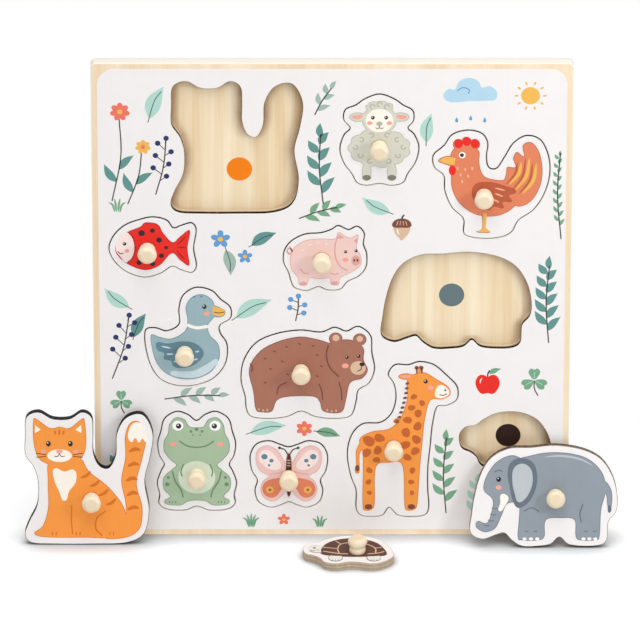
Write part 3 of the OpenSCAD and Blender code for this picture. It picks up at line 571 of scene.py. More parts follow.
def ply_layers(w: Wiring, given: dict[str, Socket]) -> Look:
    """Cut edge of plywood: plies in turn along and across, glue lines between, and a laser's brown over all.

    A ply's number is the level less the start, over its thickness. Even plies show long fibres, odd ones
    end grain, and the glue line is where the level's share of a ply is near nought or one. The brown is
    full only from a little above the level "From".
    """
    level = w.put("SeparateXYZ", {0: given["Vector"]}).outputs[2]
    number = w.math("DIVIDE", w.math("SUBTRACT", level, given["Start"]), given["Ply"])
    across = w.math("PINGPONG", w.math("FLOOR", number), 1.0)
    share = w.math("FRACT", number)
    glue = w.range(w.math("MINIMUM", share, w.math("SUBTRACT", 1.0, share)), 0.02, 0.10, 1.0, 0.0)
    fibre = w.noise(given["Vector"], (0.12, 0.12, 5.0), 4.0)
    pores = w.noise(given["Vector"], (2.2, 2.2, 2.2), 4.0)
    lengthwise = w.blend(fibre, srgb(232, 208, 168), srgb(250, 234, 204))
    endwise = w.blend(pores, srgb(204, 170, 124), srgb(236, 210, 170))
    wood = w.blend(across, lengthwise, endwise)
    wood = w.blend(w.math("MULTIPLY", glue, 0.55), wood, srgb(150, 112, 74))
    wood = w.blend(given["Pale"], wood, srgb(253, 247, 236))
    streak = w.noise(given["Vector"], (0.7, 0.7, 0.12), 4.0)
    char = w.math("MULTIPLY", given["Char"], w.math("MULTIPLY_ADD", streak, 0.7, 0.65))
    char = w.math("MULTIPLY", char, w.math("MULTIPLY_ADD", across, 0.12, 0.88), clamp=True)
    char = w.math("MULTIPLY", char, w.range(w.math("SUBTRACT", level, given["From"]), 0.0, 0.8, 0.28, 1.0))
    height = w.math("SUBTRACT", w.math("MULTIPLY_ADD", pores, 0.5, fibre), glue)
    return w.blend(char, wood, given["Burnt"]), height


@dataclass(frozen=True)
class Effects:
    """Shader node groups that several finishes share."""

    grain: bpy.types.NodeTree
    mottle: bpy.types.NodeTree
    plies: bpy.types.NodeTree

    @classmethod
    def built(cls) -> "Effects":
        """Builds each group once."""
        place = {"Vector": (0.0, 0.0, 0.0)}
        grain = {"Light": (0.8, 0.7, 0.5, 1.0), "Dark": (0.6, 0.4, 0.2, 1.0), "Contrast": 1.0}
        plies = {"Start": 0.0, "Ply": 1.0, "Pale": 0.0, "Char": 0.5, "From": -100.0,
                 "Burnt": (0.2, 0.1, 0.05, 1.0)}
        ink = {"Colour": (1.0, 1.0, 1.0, 1.0), "Amount": 0.1}
        return cls(node_group("wood_grain", place | grain, wood_grain),
                   node_group("print_mottle", place | ink, print_mottle),
                   node_group("ply_layers", place | plies, ply_layers))


@dataclass(frozen=True)
class Finish:
    """What every finish has: a name, and how rough, how deep and how shiny its surface is."""

    name: str
    roughness: float = 0.6
    relief: float = 0.02
    specular: float = 0.4

    def look(self, w: Wiring, local: Socket, effects: Effects) -> Look:
        """Puts the nodes of the finish's colour and relief, from the flat coordinates of the surface."""
        raise NotImplementedError

    def made(self, effects: Effects) -> bpy.types.Material:
        """New material of this finish."""
        material = bpy.data.materials.new(self.name)
        w = Wiring.of(material)
        colour, height = self.look(w, w.put("Attribute", attribute_name="local").outputs["Vector"], effects)
        bump = w.put("Bump", {"Height": height, "Strength": 1.0, "Distance": self.relief * MM}).outputs[0]
        shader = w.put("BsdfPrincipled", {"Base Color": colour, "Roughness": self.roughness,
                                          "Specular IOR Level": self.specular, "Normal": bump})
        w.put("OutputMaterial", {"Surface": shader.outputs[0]})
        return material


@dataclass(frozen=True)
class BareWood(Finish):
    """Bare light wood with upright grain, browned where its mask attribute asks: laser smoke and painted
    shade.
    """

    specular: float = 0.3
    light: Colour = srgb(244, 224, 190)
    dark: Colour = srgb(224, 190, 140)
    contrast: float = 0.8
    # Brown of laser smoke together with painted shade, laid over the grain where the mask asks for it
    smoke_and_shade: bool = False
    smoke_shade_colour: ClassVar[Colour] = srgb(140, 92, 52)

    def look(self, w: Wiring, local: Socket, effects: Effects) -> Look:
        """The grain, under the brown of smoke and painted shade, a little uneven."""
        given = {"Vector": local, "Light": self.light, "Dark": self.dark, "Contrast": self.contrast}
        colour, height = w.put("Group", given, node_tree=effects.grain).outputs
        if self.smoke_and_shade:
            uneven = w.math("MULTIPLY_ADD", w.noise(local, (0.5, 0.2, 0.5)), 0.6, 0.7)
            tone_mask = w.math("MULTIPLY", w.mask("tone_mask"), uneven, clamp=True)
            colour = w.blend(tone_mask, colour, self.smoke_shade_colour)
        return colour, height


@dataclass(frozen=True)
class PlyEdge(Finish):
    """Cut edge of plywood, from pale where it is sawn to brown or black where a laser cut it."""

    specular: float = 0.1
    start: float = 0.0
    ply: float = 5 / 3
    pale: float = 0.0
    char: float = 0.0
    char_from: float = -100.0
    burnt: Colour = srgb(98, 62, 40)

    def look(self, w: Wiring, local: Socket, effects: Effects) -> Look:
        """The plies."""
        given = {"Vector": local, "Start": self.start, "Ply": self.ply, "Pale": self.pale, "Char": self.char,
                 "From": self.char_from, "Burnt": self.burnt}
        return tuple(w.put("Group", given, node_tree=effects.plies).outputs)


@dataclass(frozen=True)
class Ink(Finish):
    """Printed colour, a little uneven."""

    specular: float = 0.2
    colour: Colour = srgb(245, 243, 240)
    amount: float = 0.10

    def look(self, w: Wiring, local: Socket, effects: Effects) -> Look:
        """The mottled ink."""
        given = {"Vector": local, "Colour": self.colour, "Amount": self.amount}
        return tuple(w.put("Group", given, node_tree=effects.mottle).outputs)


@dataclass(frozen=True)
class KnobWood(Finish):
    """Turned beech: grain along the axis, fine rings where the tool passed, and end grain on the flat."""

    specular: float = 0.45
    light: Colour = srgb(240, 226, 198)
    dark: Colour = srgb(224, 202, 164)
    end: Colour = srgb(234, 213, 182)
    end_dark: Colour = srgb(220, 192, 156)
    contrast: float = 0.55

    def look(self, w: Wiring, local: Socket, effects: Effects) -> Look:
        """The wood, whose axis is local z, with the end grain's mask in the mesh's mask attribute."""
        rolled = w.put("VectorRotate", {"Vector": local, "Angle": math.pi / 2}, rotation_type="X_AXIS")
        grain = w.put("Group", {"Vector": rolled.outputs[0], "Light": self.light, "Dark": self.dark,
                                "Contrast": self.contrast}, node_tree=effects.grain)
        rings = w.noise(local, (2.4, 2.4, 0.02), 3.0)
        end = w.blend(w.math("MULTIPLY", rings, 0.5), self.end, self.end_dark)
        colour = w.blend(w.math("MULTIPLY", w.mask("tone_mask"), 0.6), grain.outputs["Colour"], end)
        turning = w.noise(local, (0.05, 0.05, 3.0), 2.0)
        return colour, w.math("MULTIPLY_ADD", turning, 0.6, grain.outputs["Height"])


class Tint(Enum):
    """Inks of the figures and the board's motifs, as display values."""

    ORANGE = 244, 152, 66
    ORANGE_DEEP = 214, 112, 38
    CHESTNUT = 196, 100, 46
    SLATE = 143, 152, 160
    SLATE_DEEP = 104, 114, 124
    SLATE_PALE = 186, 192, 196
    DARK_BROWN = 94, 63, 54
    BROWN_INK = 74, 48, 42
    SAND = 218, 184, 154
    PALE_GREY = 225, 225, 218
    SAGE_GREY = 212, 210, 195
    SAGE_DEEP = 184, 180, 160
    SAGE_INK = 128, 122, 106
    RUST = 224, 130, 94
    RUST_DEEP = 186, 92, 62
    RUST_PALE = 240, 176, 140
    RED = 232, 44, 36
    RED_DEEP = 172, 26, 24
    PINK = 238, 203, 194
    PINK_WING = 236, 196, 190
    PINK_DEEP = 222, 164, 152
    PINK_PALE = 246, 226, 220
    ROSE = 240, 164, 146
    BLUE_GREY = 152, 178, 184
    BLUE_DEEP = 98, 132, 146
    BLUE_PALE = 202, 218, 222
    BROWN = 168, 112, 92
    BROWN_DEEP = 124, 74, 58
    SAGE_GREEN = 168, 190, 158
    GREEN_DEEP = 112, 142, 106
    GREEN_PALE = 216, 226, 204
    CREAM = 250, 242, 230
    WHITE = 252, 251, 250
    INK = 52, 42, 42
    MUSTARD = 238, 182, 86
    MINT = 176, 214, 202
    TEAL = 96, 146, 140
    LEAF_GREEN = 118, 166, 132
    SAGE_LEAF = 158, 184, 170
    NAVY = 44, 54, 98
    BLUE = 98, 156, 204
    SKY = 178, 212, 230
    CORAL = 236, 116, 98
    STEM = 66, 60, 58
    SPOT_ORANGE = 243, 128, 6
    SPOT_SLATE = 101, 118, 121
    SPOT_BROWN = 44, 24, 18

    def ink(self) -> Ink:
        """Finish of this tint."""
        return Ink("ink_" + self.name.lower(), roughness=0.62, relief=0.012, colour=srgb(*self.value))


@dataclass
class Paints:
    """Materials made so far, one for each finish."""

    effects: Effects
    made: dict[str, bpy.types.Material] = field(default_factory=dict)

    def get(self, *finishes: Finish) -> list[bpy.types.Material]:
        """Materials of finishes, each made when it is first asked for."""
        for finish in finishes:
            if finish.name not in self.made:
                self.made[finish.name] = finish.made(self.effects)
        return [self.made[finish.name] for finish in finishes]


WHITE_FACE = Ink("white_face", roughness=0.55, relief=0.014, colour=srgb(239, 235, 233), amount=0.045)
PANEL_WOOD = BareWood("panel_wood", roughness=0.7, relief=0.03, light=srgb(246, 228, 200),
                      dark=srgb(230, 202, 164), contrast=0.9)
# The pocket floors' wood, browned by laser smoke together with painted shade from the pocket walls
FLOOR_WOOD = BareWood("pocket_floor_wood", roughness=0.75, relief=0.03, light=srgb(249, 233, 204),
                      dark=srgb(227, 196, 148), contrast=0.95, smoke_and_shade=True)
BACK_WOOD = BareWood("back_wood", roughness=0.75, relief=0.03)
KNOB_WOOD = KnobWood("knob_wood", roughness=0.42, relief=0.012)
PANEL_EDGE = PlyEdge("panel_edge", relief=0.004, start=-1.0, pale=0.92)
EMPTY_EDGE = PlyEdge("empty_pocket_edge", start=-1.0, pale=0.2, char=1.2, char_from=1.2,
                     burnt=srgb(22, 14, 12))
# Walls of the filled pockets: the same laser cut, drawn pale without char as painted light, so the kerf below
# a seated piece reads lit
FILLED_EDGE_PAINTED_LIT = PlyEdge("filled_pocket_painted_lit_edge", start=-1.0, pale=1.0)
BACKING_EDGE = PlyEdge("backing_edge", relief=0.004, start=-4.0, ply=1.0, pale=0.92)
SEATED_EDGE = PlyEdge("seated_edge", char=1.2, burnt=srgb(36, 32, 34))
BLACK_EDGE = PlyEdge("black_edge", char=1.5, burnt=srgb(22, 20, 24))
BROWN_EDGE = PlyEdge("brown_edge", char=0.95, burnt=srgb(78, 62, 54))
GREY_EDGE = PlyEdge("grey_edge", ply=1.0, char=0.74, burnt=srgb(146, 132, 120))


class Tip(Enum):
    """How a stroke ends: cut round, or drawn out like a brush's mark or a leaf."""

    BLUNT = "blunt"
    BRUSH = "brush"
    LEAF = "leaf"

    def widths(self, way: Points, width: float) -> Points:
        """Half the stroke's width at each distance along it, a little more than nought at the ends.

        A blunt end is a half circle: half sqrt(1 - (1 - d)^2), where d is the distance from the end over half
        the width. A brush's mark is half (1 - |2u - 1|^2.4)^0.7 and a leaf half sin(pi u^0.8), where u is the
        share of the way.
        """
        share = way / way[-1]
        if self is Tip.BLUNT:
            near = np.clip(np.minimum(way, way[-1] - way) / (width / 2), 0, 1)
            shape = np.sqrt(1 - (1 - near) ** 2)
        elif self is Tip.BRUSH:
            shape = (1 - np.abs(2 * share - 1) ** 2.4) ** 0.7
        else:
            shape = np.sin(math.pi * share**0.8)
        return np.maximum(width / 2 * shape, width * 0.04)


@dataclass
class Drawing:
    """Marks of ink on a flat drawing, in millimetres, as one mesh with a material for each tint."""

    flat: Flat
    face: float
    scale: Points
    shape: FlatMesh = field(init=False)
    tints: list[Tint] = field(default_factory=list)

    def __post_init__(self) -> None:
        self.shape = FlatMesh(self.flat)

    def number(self, tint: Tint) -> int:
        """Number of the tint's material."""
        if tint not in self.tints:
            self.tints.append(tint)
        return self.tints.index(tint)

    def top(self, layer: int) -> float:
        """Level of the top of a pass of ink."""
        return self.face + PRINT_T + layer * INK_STEP

    def loop(self, tint: Tint, loop: Points, layer: int) -> None:
        """Filled mark inside a loop."""
        loop = loop if signed_area(loop) > 0 else loop[::-1]
        self.shape.slab([loop], Rim(self.face, self.top(layer)), (self.number(tint),) * 3)

    def outline(self, tint: Tint, loops: Sequence[Points], width: float) -> None:
        """Thin line just inside the outline of a printed figure."""
        low, high = self.face, self.top(0) + INK_STEP / 2
        for loop in loops:
            self.shape.walls(loop, np.array([[width, low], [0, low], [0, high], [width, high]]),
                             self.number(tint), ring=True)

    def made(self, name: str, body: str, slot: str, paints: "Paints") -> None:
        """Makes the marks one piece that rides on a body."""
        self.shape.made(name, body, slot, paints.get(*(tint.ink() for tint in self.tints)))


@dataclass(frozen=True)
class Pen:
    """Draws in thousandths of a size from an origin, turned by an angle in degrees or mirrored to its left.

    Points are given as x and y in turn. The size is a piece's width and height, or a motif's size. Strokes
    have the rim's tint unless another is given, and their width is in millimetres. A higher layer lies on a
    lower one.
    """

    art: Drawing
    rim: Tint
    origin: Pair = (0, 0)
    unit: float = 0.001
    side: int = 1
    turn: float = 0.0

    def shares(self, *spots: float) -> Points:
        """Points as shares of the drawing's scale."""
        spots = np.reshape(spots, (-1, 2)) * (self.side * self.unit, self.unit)
        return turned(spots, self.turn) + self.origin

    def sides(self, x: float) -> list["Pen"]:
        """The pen to the left and to the right of an upright axis."""
        return [replace(self, origin=(x * self.unit, 0), side=side) for side in (-1, 1)]

    def places(self, *spots: float) -> list["Pen"]:
        """The pen with its origin at each point."""
        return [replace(self, origin=tuple(spot)) for spot in self.shares(*spots)]

    def patch(self, tint: Tint, *spots: float, layer: int = 1, corner: float = math.pi, steps: int = 6
              ) -> None:
        """Filled mark with a smooth outline, sharp where it turns by more than the corner angle."""
        self.art.loop(tint, closed_curve(self.shares(*spots) * self.art.scale, steps, corner), layer)

    def oval(self, tint: Tint, x: float, y: float, half_w: float, half_h: float, layer: int = 1) -> None:
        """Filled oval, which stays upright."""
        halves = np.array([half_w, half_h]) * self.unit
        self.art.loop(tint, oval(self.shares(x, y)[0], *halves, sides=28) * self.art.scale, layer)

    def eye(self, x: float, y: float, half_w: float, half_h: float, glint: tuple[float, float, float, float],
            layer: int = 1) -> None:
        """Dark eye with a glint, given by how far it lies left and up and by its half width and height."""
        left, up, glint_w, glint_h = glint
        self.oval(Tint.INK, x, y, half_w, half_h, layer)
        self.oval(Tint.WHITE, x - left * self.side, y + up, glint_w, glint_h, layer + 1)

    def line(self, width: float, *spots: float, tint: Tint | None = None, layer: int = 1, tip: Tip = Tip.BLUNT
             ) -> None:
        """Stroke of a full width along a smooth path, with points nearer together at its ends."""
        path = open_curve(self.shares(*spots) * self.art.scale, 8)
        way = np.concatenate([[0], np.cumsum(np.linalg.norm(np.diff(path, axis=0), axis=1))])
        end = np.minimum(width / 2, way[-1] / 3) * (1 - np.cos(np.linspace(0, math.pi / 2, 5)))
        middle = np.linspace(end[-1], way[-1] - end[-1], max(len(path), 5))
        stations = np.concatenate([end[:-1], middle, (way[-1] - end[:-1])[::-1]])
        path = np.stack([np.interp(stations, way, path[:, k]) for k in range(2)], axis=1)
        self.art.shape.ribbon(path, tip.widths(stations, width), self.art.face, self.art.top(layer),
                              self.art.number(tint or self.rim))

    def brush(self, width: float, *spots: float, tint: Tint | None = None, layer: int = 1) -> None:
        """Stroke with drawn-out ends."""
        self.line(width, *spots, tint=tint, layer=layer, tip=Tip.BRUSH)


@dataclass
class Animal:
    """One piece of the puzzle: its blank, its printed figure and its knob. Its body has the class's name."""

    tint: ClassVar[Tint] = Tint.ORANGE
    rim: ClassVar[Tint] = Tint.ORANGE_DEEP
    edge: ClassVar[PlyEdge] = SEATED_EDGE

    paints: Paints
    nodes: dict[str, bpy.types.Object]
    arris: float = 0.3
    hole_depth: float = 3.7
    rim_width: float = 0.32

    def __post_init__(self) -> None:
        self.name = type(self).__name__.lower()
        self.flat = Flat.of_plate(self.nodes[f"{self.name}_piece"])
        self.ink_slot = f"{self.name}_ink"

    def build(self) -> None:
        """Builds and dresses the blank, the figure with its details, and the knob."""
        self.blank()
        self.figure()
        Knob(self).build()

    def blank(self) -> None:
        """Wooden piece: a slab with soft arrises, and a blind hole in its front for the knob's spigot."""
        outline, hole = face_loops(self.flat, self.nodes[f"{self.name}_piece"])
        thick = self.flat.size[2]
        shape = FlatMesh(self.flat)
        low, high = shape.walls(closed_curve(outline, 4, CORNER_ANGLE), Rim(0, thick, self.arris, self.arris))
        shape.cap([low], Part.BACK, up=False)
        floor, mouth = shape.walls(closed_curve(hole, 2), Rim(thick - self.hole_depth, thick))
        shape.cap([high, mouth], Part.FRONT)
        shape.cap([floor], Part.WALL)
        finishes = self.paints.get(WHITE_FACE, self.edge, BACK_WOOD)
        shape.made(f"{self.name}_blank", self.name, "piece_face", finishes, f"{self.name}_piece")

    def figure(self) -> None:
        """Printed figure: a thin plate of ink with smooth outlines, a thin rim and the marks on it."""
        loops = face_loops(self.flat, self.nodes[f"{self.name}_print"])
        loops = [closed_curve(loop, 3, CORNER_ANGLE) for loop in loops]
        thick = self.flat.size[2]
        shape = FlatMesh(self.flat)
        shape.slab(loops, Rim(thick, thick + PRINT_T, 0, INK_ARRIS, steps=1))
        shape.made(f"{self.name}_figure", self.name, self.ink_slot, self.paints.get(self.tint.ink()),
                   f"{self.name}_print")
        art = Drawing(self.flat, thick, self.flat.size[:2])
        art.outline(self.rim, loops, self.rim_width)
        self.details(Pen(art, self.rim))
        art.made(f"{self.name}_details", self.name, self.ink_slot, self.paints)

    def details(self, pen: Pen) -> None:
        """Draws what stands on the figure."""


@dataclass
class Knob:
    """Turned knob on an animal, in millimetres: spigot, bead, crease, and a round head with a flat end."""

    owner: Animal
    head_d: float = 11.0
    flat_d: float = 6.8
    head_z: float = 7.0
    height: float = 10.1
    bead_d: float = 9.5
    foot_d: float = 8.4
    bead_h: float = 3.9
    crease_d: float = 7.9
    spigot_d: float = 4.0
    spigot_l: float = 3.6
    bead_low_share: float = 0.45
    end_round: float = 0.25
    end_grain_h: float = 0.5
    columns: int = 48

    def profile(self) -> Points:
        """Radius and height along the turned outline.

        The bead and the head are ovals in section: radius = r cos a and height = middle + h sin a, where a
        runs from the angle at which the oval starts to the one at which it ends.

        Returns:
            Rows of radius and height, from the spigot's end to the flat.
        """
        foot_a, bead_a = math.acos(self.foot_d / self.bead_d), math.acos(self.crease_d / self.bead_d)
        crease_a, flat_a = math.acos(self.crease_d / self.head_d), math.acos(self.flat_d / self.head_d)
        bead_low = self.bead_h * self.bead_low_share
        below, above = self.head_z - self.bead_h, self.height - self.head_z

        def arc(width: float, middle: float, height: float, start: float, stop: float, rows: int) -> Points:
            angles = np.linspace(start, stop, rows)
            return np.stack([width / 2 * np.cos(angles), middle + height * np.sin(angles)], axis=1)

        return np.vstack([
            [[self.spigot_d / 2, -self.spigot_l], [self.spigot_d / 2, 0]],
            arc(self.bead_d, bead_low, bead_low / math.sin(foot_a), -foot_a, 0, 5)[:-1],
            arc(self.bead_d, bead_low, (self.bead_h - bead_low) / math.sin(bead_a), 0, bead_a, 7),
            arc(self.head_d, self.head_z, below / math.sin(crease_a), -crease_a, 0, 10)[1:],
            arc(self.head_d, self.head_z, above / math.sin(flat_a), 0, flat_a, 14)[1:],
            [[self.flat_d / 2 - self.end_round, self.height], [self.flat_d / 4, self.height]]])

    def build(self) -> None:
        """Turns the profile about the knob's axis and closes both ends with a fan."""
        owner, profile, columns = self.owner, self.profile(), self.columns
        drawn = owner.flat.drawn(welded(owner.nodes[f"{owner.name}_knob"])[0])
        axis = (drawn[:, :2].min(axis=0) + drawn[:, :2].max(axis=0)) / 2
        foot = owner.flat.placed(np.array([*axis, owner.flat.size[2]]))
        angles = np.linspace(0, 2 * math.pi, columns, endpoint=False)
        radii, heights = profile[:, 0, None], profile[:, 1, None] + np.zeros(columns)
        rings = np.stack([radii * np.cos(angles), radii * np.sin(angles), heights], axis=2).reshape(-1, 3)
        corners = np.vstack([rings, [[0, 0, -self.spigot_l], [0, 0, self.height]]])
        shape = FlatMesh(replace(owner.flat, origin=foot))
        shape.points(corners, np.clip((corners[:, 2] - self.height) / self.end_grain_h + 1, 0, 1))
        shape.face(grid_quads(len(profile), columns), smooth=True)
        ring = np.arange(columns)
        beside, top, pole = (ring + 1) % columns, len(rings) - columns, np.full(columns, len(rings))
        shape.face(np.stack([beside, ring, pole], axis=1), smooth=True)
        shape.face(np.stack([top + ring, top + beside, pole + 1], axis=1), smooth=True)
        shape.made(f"{owner.name}_turned_knob", owner.name, "knob_wood", owner.paints.get(KNOB_WOOD),
                   f"{owner.name}_knob")


class Cat(Animal):
    """Orange cat that leans on the board's lower left corner."""

    edge = BLACK_EDGE

    def details(self, pen: Pen) -> None:
        """Face, cream chest, stripes and a cream tip on the tail."""
        pen.oval(Tint.CREAM, 275, 672, 95, 48)
        pen.patch(Tint.CREAM, 235, 575, 310, 552, 385, 565, 400, 480, 345, 400, 310, 330, 270, 400, 235, 480)
        pen.patch(Tint.ROSE, 250, 712, 275, 718, 300, 712, 275, 685, layer=2)
        pen.brush(1.3, 275, 872, 275, 825)
        for half, ear in zip(pen.sides(275), pen.sides(266)):
            half.line(0.45, 0, 690, 12, 668, 40, 668, tint=Tint.INK, layer=2)
            half.eye(85, 762, 18, 21, (5, 7, 5, 5))
            half.oval(Tint.ROSE, 125, 705, 22, 16)
            half.brush(1.1, 36, 865, 30, 830)
            half.line(0.4, 105, 680, 180, 690, tint=Tint.INK, layer=2)
            half.line(0.4, 105, 666, 180, 660, tint=Tint.INK, layer=2)
            ear.patch(Tint.CREAM, 178, 904, 134, 868, 180, 842, corner=1.0)
        for stripe in pen.places(515, 555, 585, 490, 650, 420, 710, 350):
            stripe.brush(1.8, 0, 0, -35, -35, -80, -50)
        pen.line(0.8, 600, 65, 550, 120, 560, 200, 630, 255)
        pen.line(0.7, 365, 300, 362, 180, 370, 75)
        for x in (215, 245, 400, 430, 660, 690):
            pen.line(0.6, x, 95, x - 4, 66)
        for ring in pen.places(795, 260, 790, 370, 785, 480, 800, 590, 810, 700):
            ring.brush(2.3, 0, 0, 50, 22, 92, 12)
        pen.patch(Tint.CREAM, 808, 800, 835, 775, 860, 805, 890, 772, 915, 800, 944, 775, 938, 860, 905, 917,
                  848, 917, 816, 870)


class Elephant(Animal):
    """Slate elephant that leans on the board's lower right corner."""

    tint = Tint.SLATE
    rim = Tint.SLATE_DEEP
    edge = BROWN_EDGE

    def details(self, pen: Pen) -> None:
        """Ear, eye, tusk, wrinkles on the trunk, toenails and the tail's tuft."""
        pen.patch(self.rim, 275, 830, 345, 875, 425, 830, 455, 700, 440, 550, 385, 420, 325, 385, 290, 460,
                  268, 600, 255, 720)
        pen.patch(Tint.SLATE_PALE, 300, 780, 350, 820, 405, 780, 425, 680, 410, 560, 365, 460, 330, 440,
                  305, 520, 288, 640, layer=2)
        pen.eye(195, 665, 16, 26, (4, 9, 4, 6))
        pen.line(0.7, 165, 735, 195, 755, 222, 742)
        pen.oval(Tint.ROSE, 195, 585, 20, 22)
        pen.patch(Tint.CREAM, 215, 520, 260, 490, 243, 415, 200, 352, 207, 435)
        for fold in pen.places(150, 385, 140, 325, 125, 265, 95, 218):
            fold.line(0.6, 0, 0, 20, -12, 40, -6)
        pen.line(0.7, 365, 350, 420, 385, 470, 345)
        pen.line(0.8, 765, 420, 745, 330, 755, 240)
        pen.brush(1.2, 500, 885, 620, 895, 740, 865, 830, 800, tint=Tint.SLATE_PALE)
        for x in (372, 415, 458, 770, 810, 850):
            pen.oval(Tint.CREAM, x, 78, 14, 15)
        for x in (385, 445, 785, 845):
            pen.line(0.6, x - 12, 155, x + 12, 150)
        pen.brush(2.2, 938, 410, 945, 375, 942, 335)


class Turtle(Animal):
    """Brown turtle that lies before the board."""

    tint = Tint.DARK_BROWN
    rim = Tint.BROWN_INK
    edge = GREY_EDGE

    def details(self, pen: Pen) -> None:
        """Pale head and feet under the shell, and the shell's scutes."""
        pen.patch(Tint.PALE_GREY, 72, 480, 112, 405, 200, 385, 300, 420, 300, 580, 160, 635, 82, 597)
        for x in (360, 780):
            pen.oval(Tint.PALE_GREY, x, 200, 76, 110)
            for toe in (x - 30, x, x + 30):
                pen.line(0.45, toe, 135, toe, 105, tint=self.tint, layer=2)
        pen.patch(self.tint, 230, 330, 420, 260, 640, 250, 840, 270, 912, 330, 890, 500, 810, 710, 680, 850,
                  540, 890, 385, 830, 270, 700, 202, 480, layer=2)
        for width, *path in ((0.9, 225, 430, 400, 345, 500, 335), (0.9, 710, 335, 820, 360, 895, 420),
                             (0.8, 400, 350, 385, 520, 420, 680, 550, 740, 680, 700, 790, 550, 800, 360),
                             (0.7, 420, 680, 360, 800), (0.7, 550, 740, 550, 875), (0.7, 680, 700, 720, 810),
                             (0.7, 385, 520, 220, 570), (0.7, 790, 550, 870, 560)):
            pen.line(width, *path, tint=Tint.SAND, layer=3)
        pen.oval(Tint.INK, 128, 545, 15, 22, layer=2)
        pen.line(0.5, 85, 470, 110, 445, 140, 450, tint=Tint.INK, layer=2)
        pen.oval(Tint.ROSE, 165, 475, 18, 22, layer=2)


class Lamb(Animal):
    """Sage grey lamb."""

    tint = Tint.SAGE_GREY
    rim = Tint.SAGE_DEEP

    def details(self, pen: Pen) -> None:
        """Pale face, pink ears, curls in the wool and dark hooves."""
        pen.oval(Tint.CREAM, 500, 712, 175, 128)
        pen.oval(self.rim, 500, 678, 40, 24, layer=2)
        pen.line(0.5, 500, 660, 500, 635, tint=Tint.SAGE_INK, layer=2)
        pen.line(0.5, 450, 637, 475, 622, 500, 635, 525, 622, 550, 637, tint=Tint.SAGE_INK, layer=2)
        for half in pen.sides(500):
            half.eye(85, 745, 24, 21, (7, 6, 7, 6), layer=2)
            half.oval(Tint.ROSE, 125, 685, 34, 21, layer=2)
            half.patch(Tint.ROSE, 215, 765, 280, 772, 345, 752, 270, 730)
            half.oval(Tint.SAGE_INK, 160, 85, 56, 30)
            for x, y, turn in ((100, 550, 20), (230, 500, 60), (310, 420, 100), (240, 330, 150),
                               (120, 270, 200)):
                self.curl(half, x, y, turn)
        for x, y in ((410, 862), (500, 885), (590, 862)):
            self.curl(pen, x, y, 0)

    @staticmethod
    def curl(pen: Pen, x: float, y: float, turn: float) -> None:
        """Curl in the wool about a point: three quarters of a turn from an angle, drawn in by a third."""
        angles, reach = np.radians(turn + np.linspace(0, 270, 7)), np.linspace(1.0, 0.66, 7)
        path = np.stack([x + 36 * reach * np.cos(angles), y + 28 * reach * np.sin(angles)], axis=1)
        pen.line(0.75, *path.ravel())


class Rooster(Animal):
    """Rust rooster."""

    tint = Tint.RUST
    rim = Tint.RUST_DEEP

    def details(self, pen: Pen) -> None:
        """Red comb and wattle, mustard beak and legs, and the feathers of wing, neck and tail."""
        for x, y in ((220, 878), (290, 898), (360, 876)):
            pen.oval(Tint.RED, x, y, 37, 42)
        pen.oval(Tint.RED, 168, 632, 30, 46)
        pen.patch(Tint.MUSTARD, 55, 722, 100, 698, 185, 680, 195, 745, 110, 754, corner=1.0)
        pen.patch(Tint.MUSTARD, 433, 235, 433, 95, 388, 63, 460, 57, 497, 63, 457, 100, 467, 235, corner=0.7)
        pen.oval(Tint.CREAM, 252, 772, 29, 29)
        pen.oval(Tint.INK, 249, 772, 16, 17, layer=2)
        pen.patch(self.rim, 360, 500, 480, 525, 600, 495, 715, 430, 655, 395, 680, 345, 600, 335, 610, 285,
                  520, 295, 490, 262, 400, 300, 340, 390)
        for path in ((530, 470, 620, 445), (530, 420, 605, 390), (520, 365, 570, 335)):
            pen.brush(1.0, *path, tint=Tint.RUST_PALE, layer=2)
        for path in ((655, 500, 735, 600, 755, 710), (710, 450, 800, 580, 825, 750),
                     (765, 410, 860, 540, 885, 700)):
            pen.brush(1.9, *path, tint=Tint.MUSTARD)
            pen.places(-32, -2)[0].brush(1.2, *path)
        for feather in pen.places(210, 665, 275, 655, 335, 665, 235, 605, 300, 595, 250, 545):
            feather.brush(1.1, 0, 0, 6, -32, tint=Tint.RUST_PALE)


class Fish(Animal):
    """Red fish."""

    tint = Tint.RED
    rim = Tint.RED_DEEP

    def details(self, pen: Pen) -> None:
        """Pale head, dark spots, and rays on the fins."""
        pen.patch(Tint.PINK_PALE, 75, 470, 125, 350, 200, 245, 265, 340, 290, 480, 275, 630, 215, 745,
                  130, 672)
        pen.line(0.7, 205, 235, 270, 330, 297, 480, 280, 640, 220, 755, layer=2)
        pen.eye(178, 555, 21, 28, (6, 10, 6, 8), layer=2)
        pen.line(0.5, 98, 430, 128, 395, 165, 400, tint=Tint.INK, layer=2)
        pen.oval(Tint.ROSE, 205, 440, 26, 30, layer=2)
        for x, y, radius in ((375, 735, 38), (345, 245, 32), (500, 775, 28), (575, 620, 34), (500, 225, 30),
                             (600, 360, 30), (655, 495, 22)):
            pen.oval(Tint.INK, x, y, radius, radius * 1.3)
        for path in ((775, 530, 830, 600, 885, 680), (785, 490, 840, 495, 890, 490),
                     (775, 450, 820, 370, 875, 290)):
            pen.brush(0.8, *path)


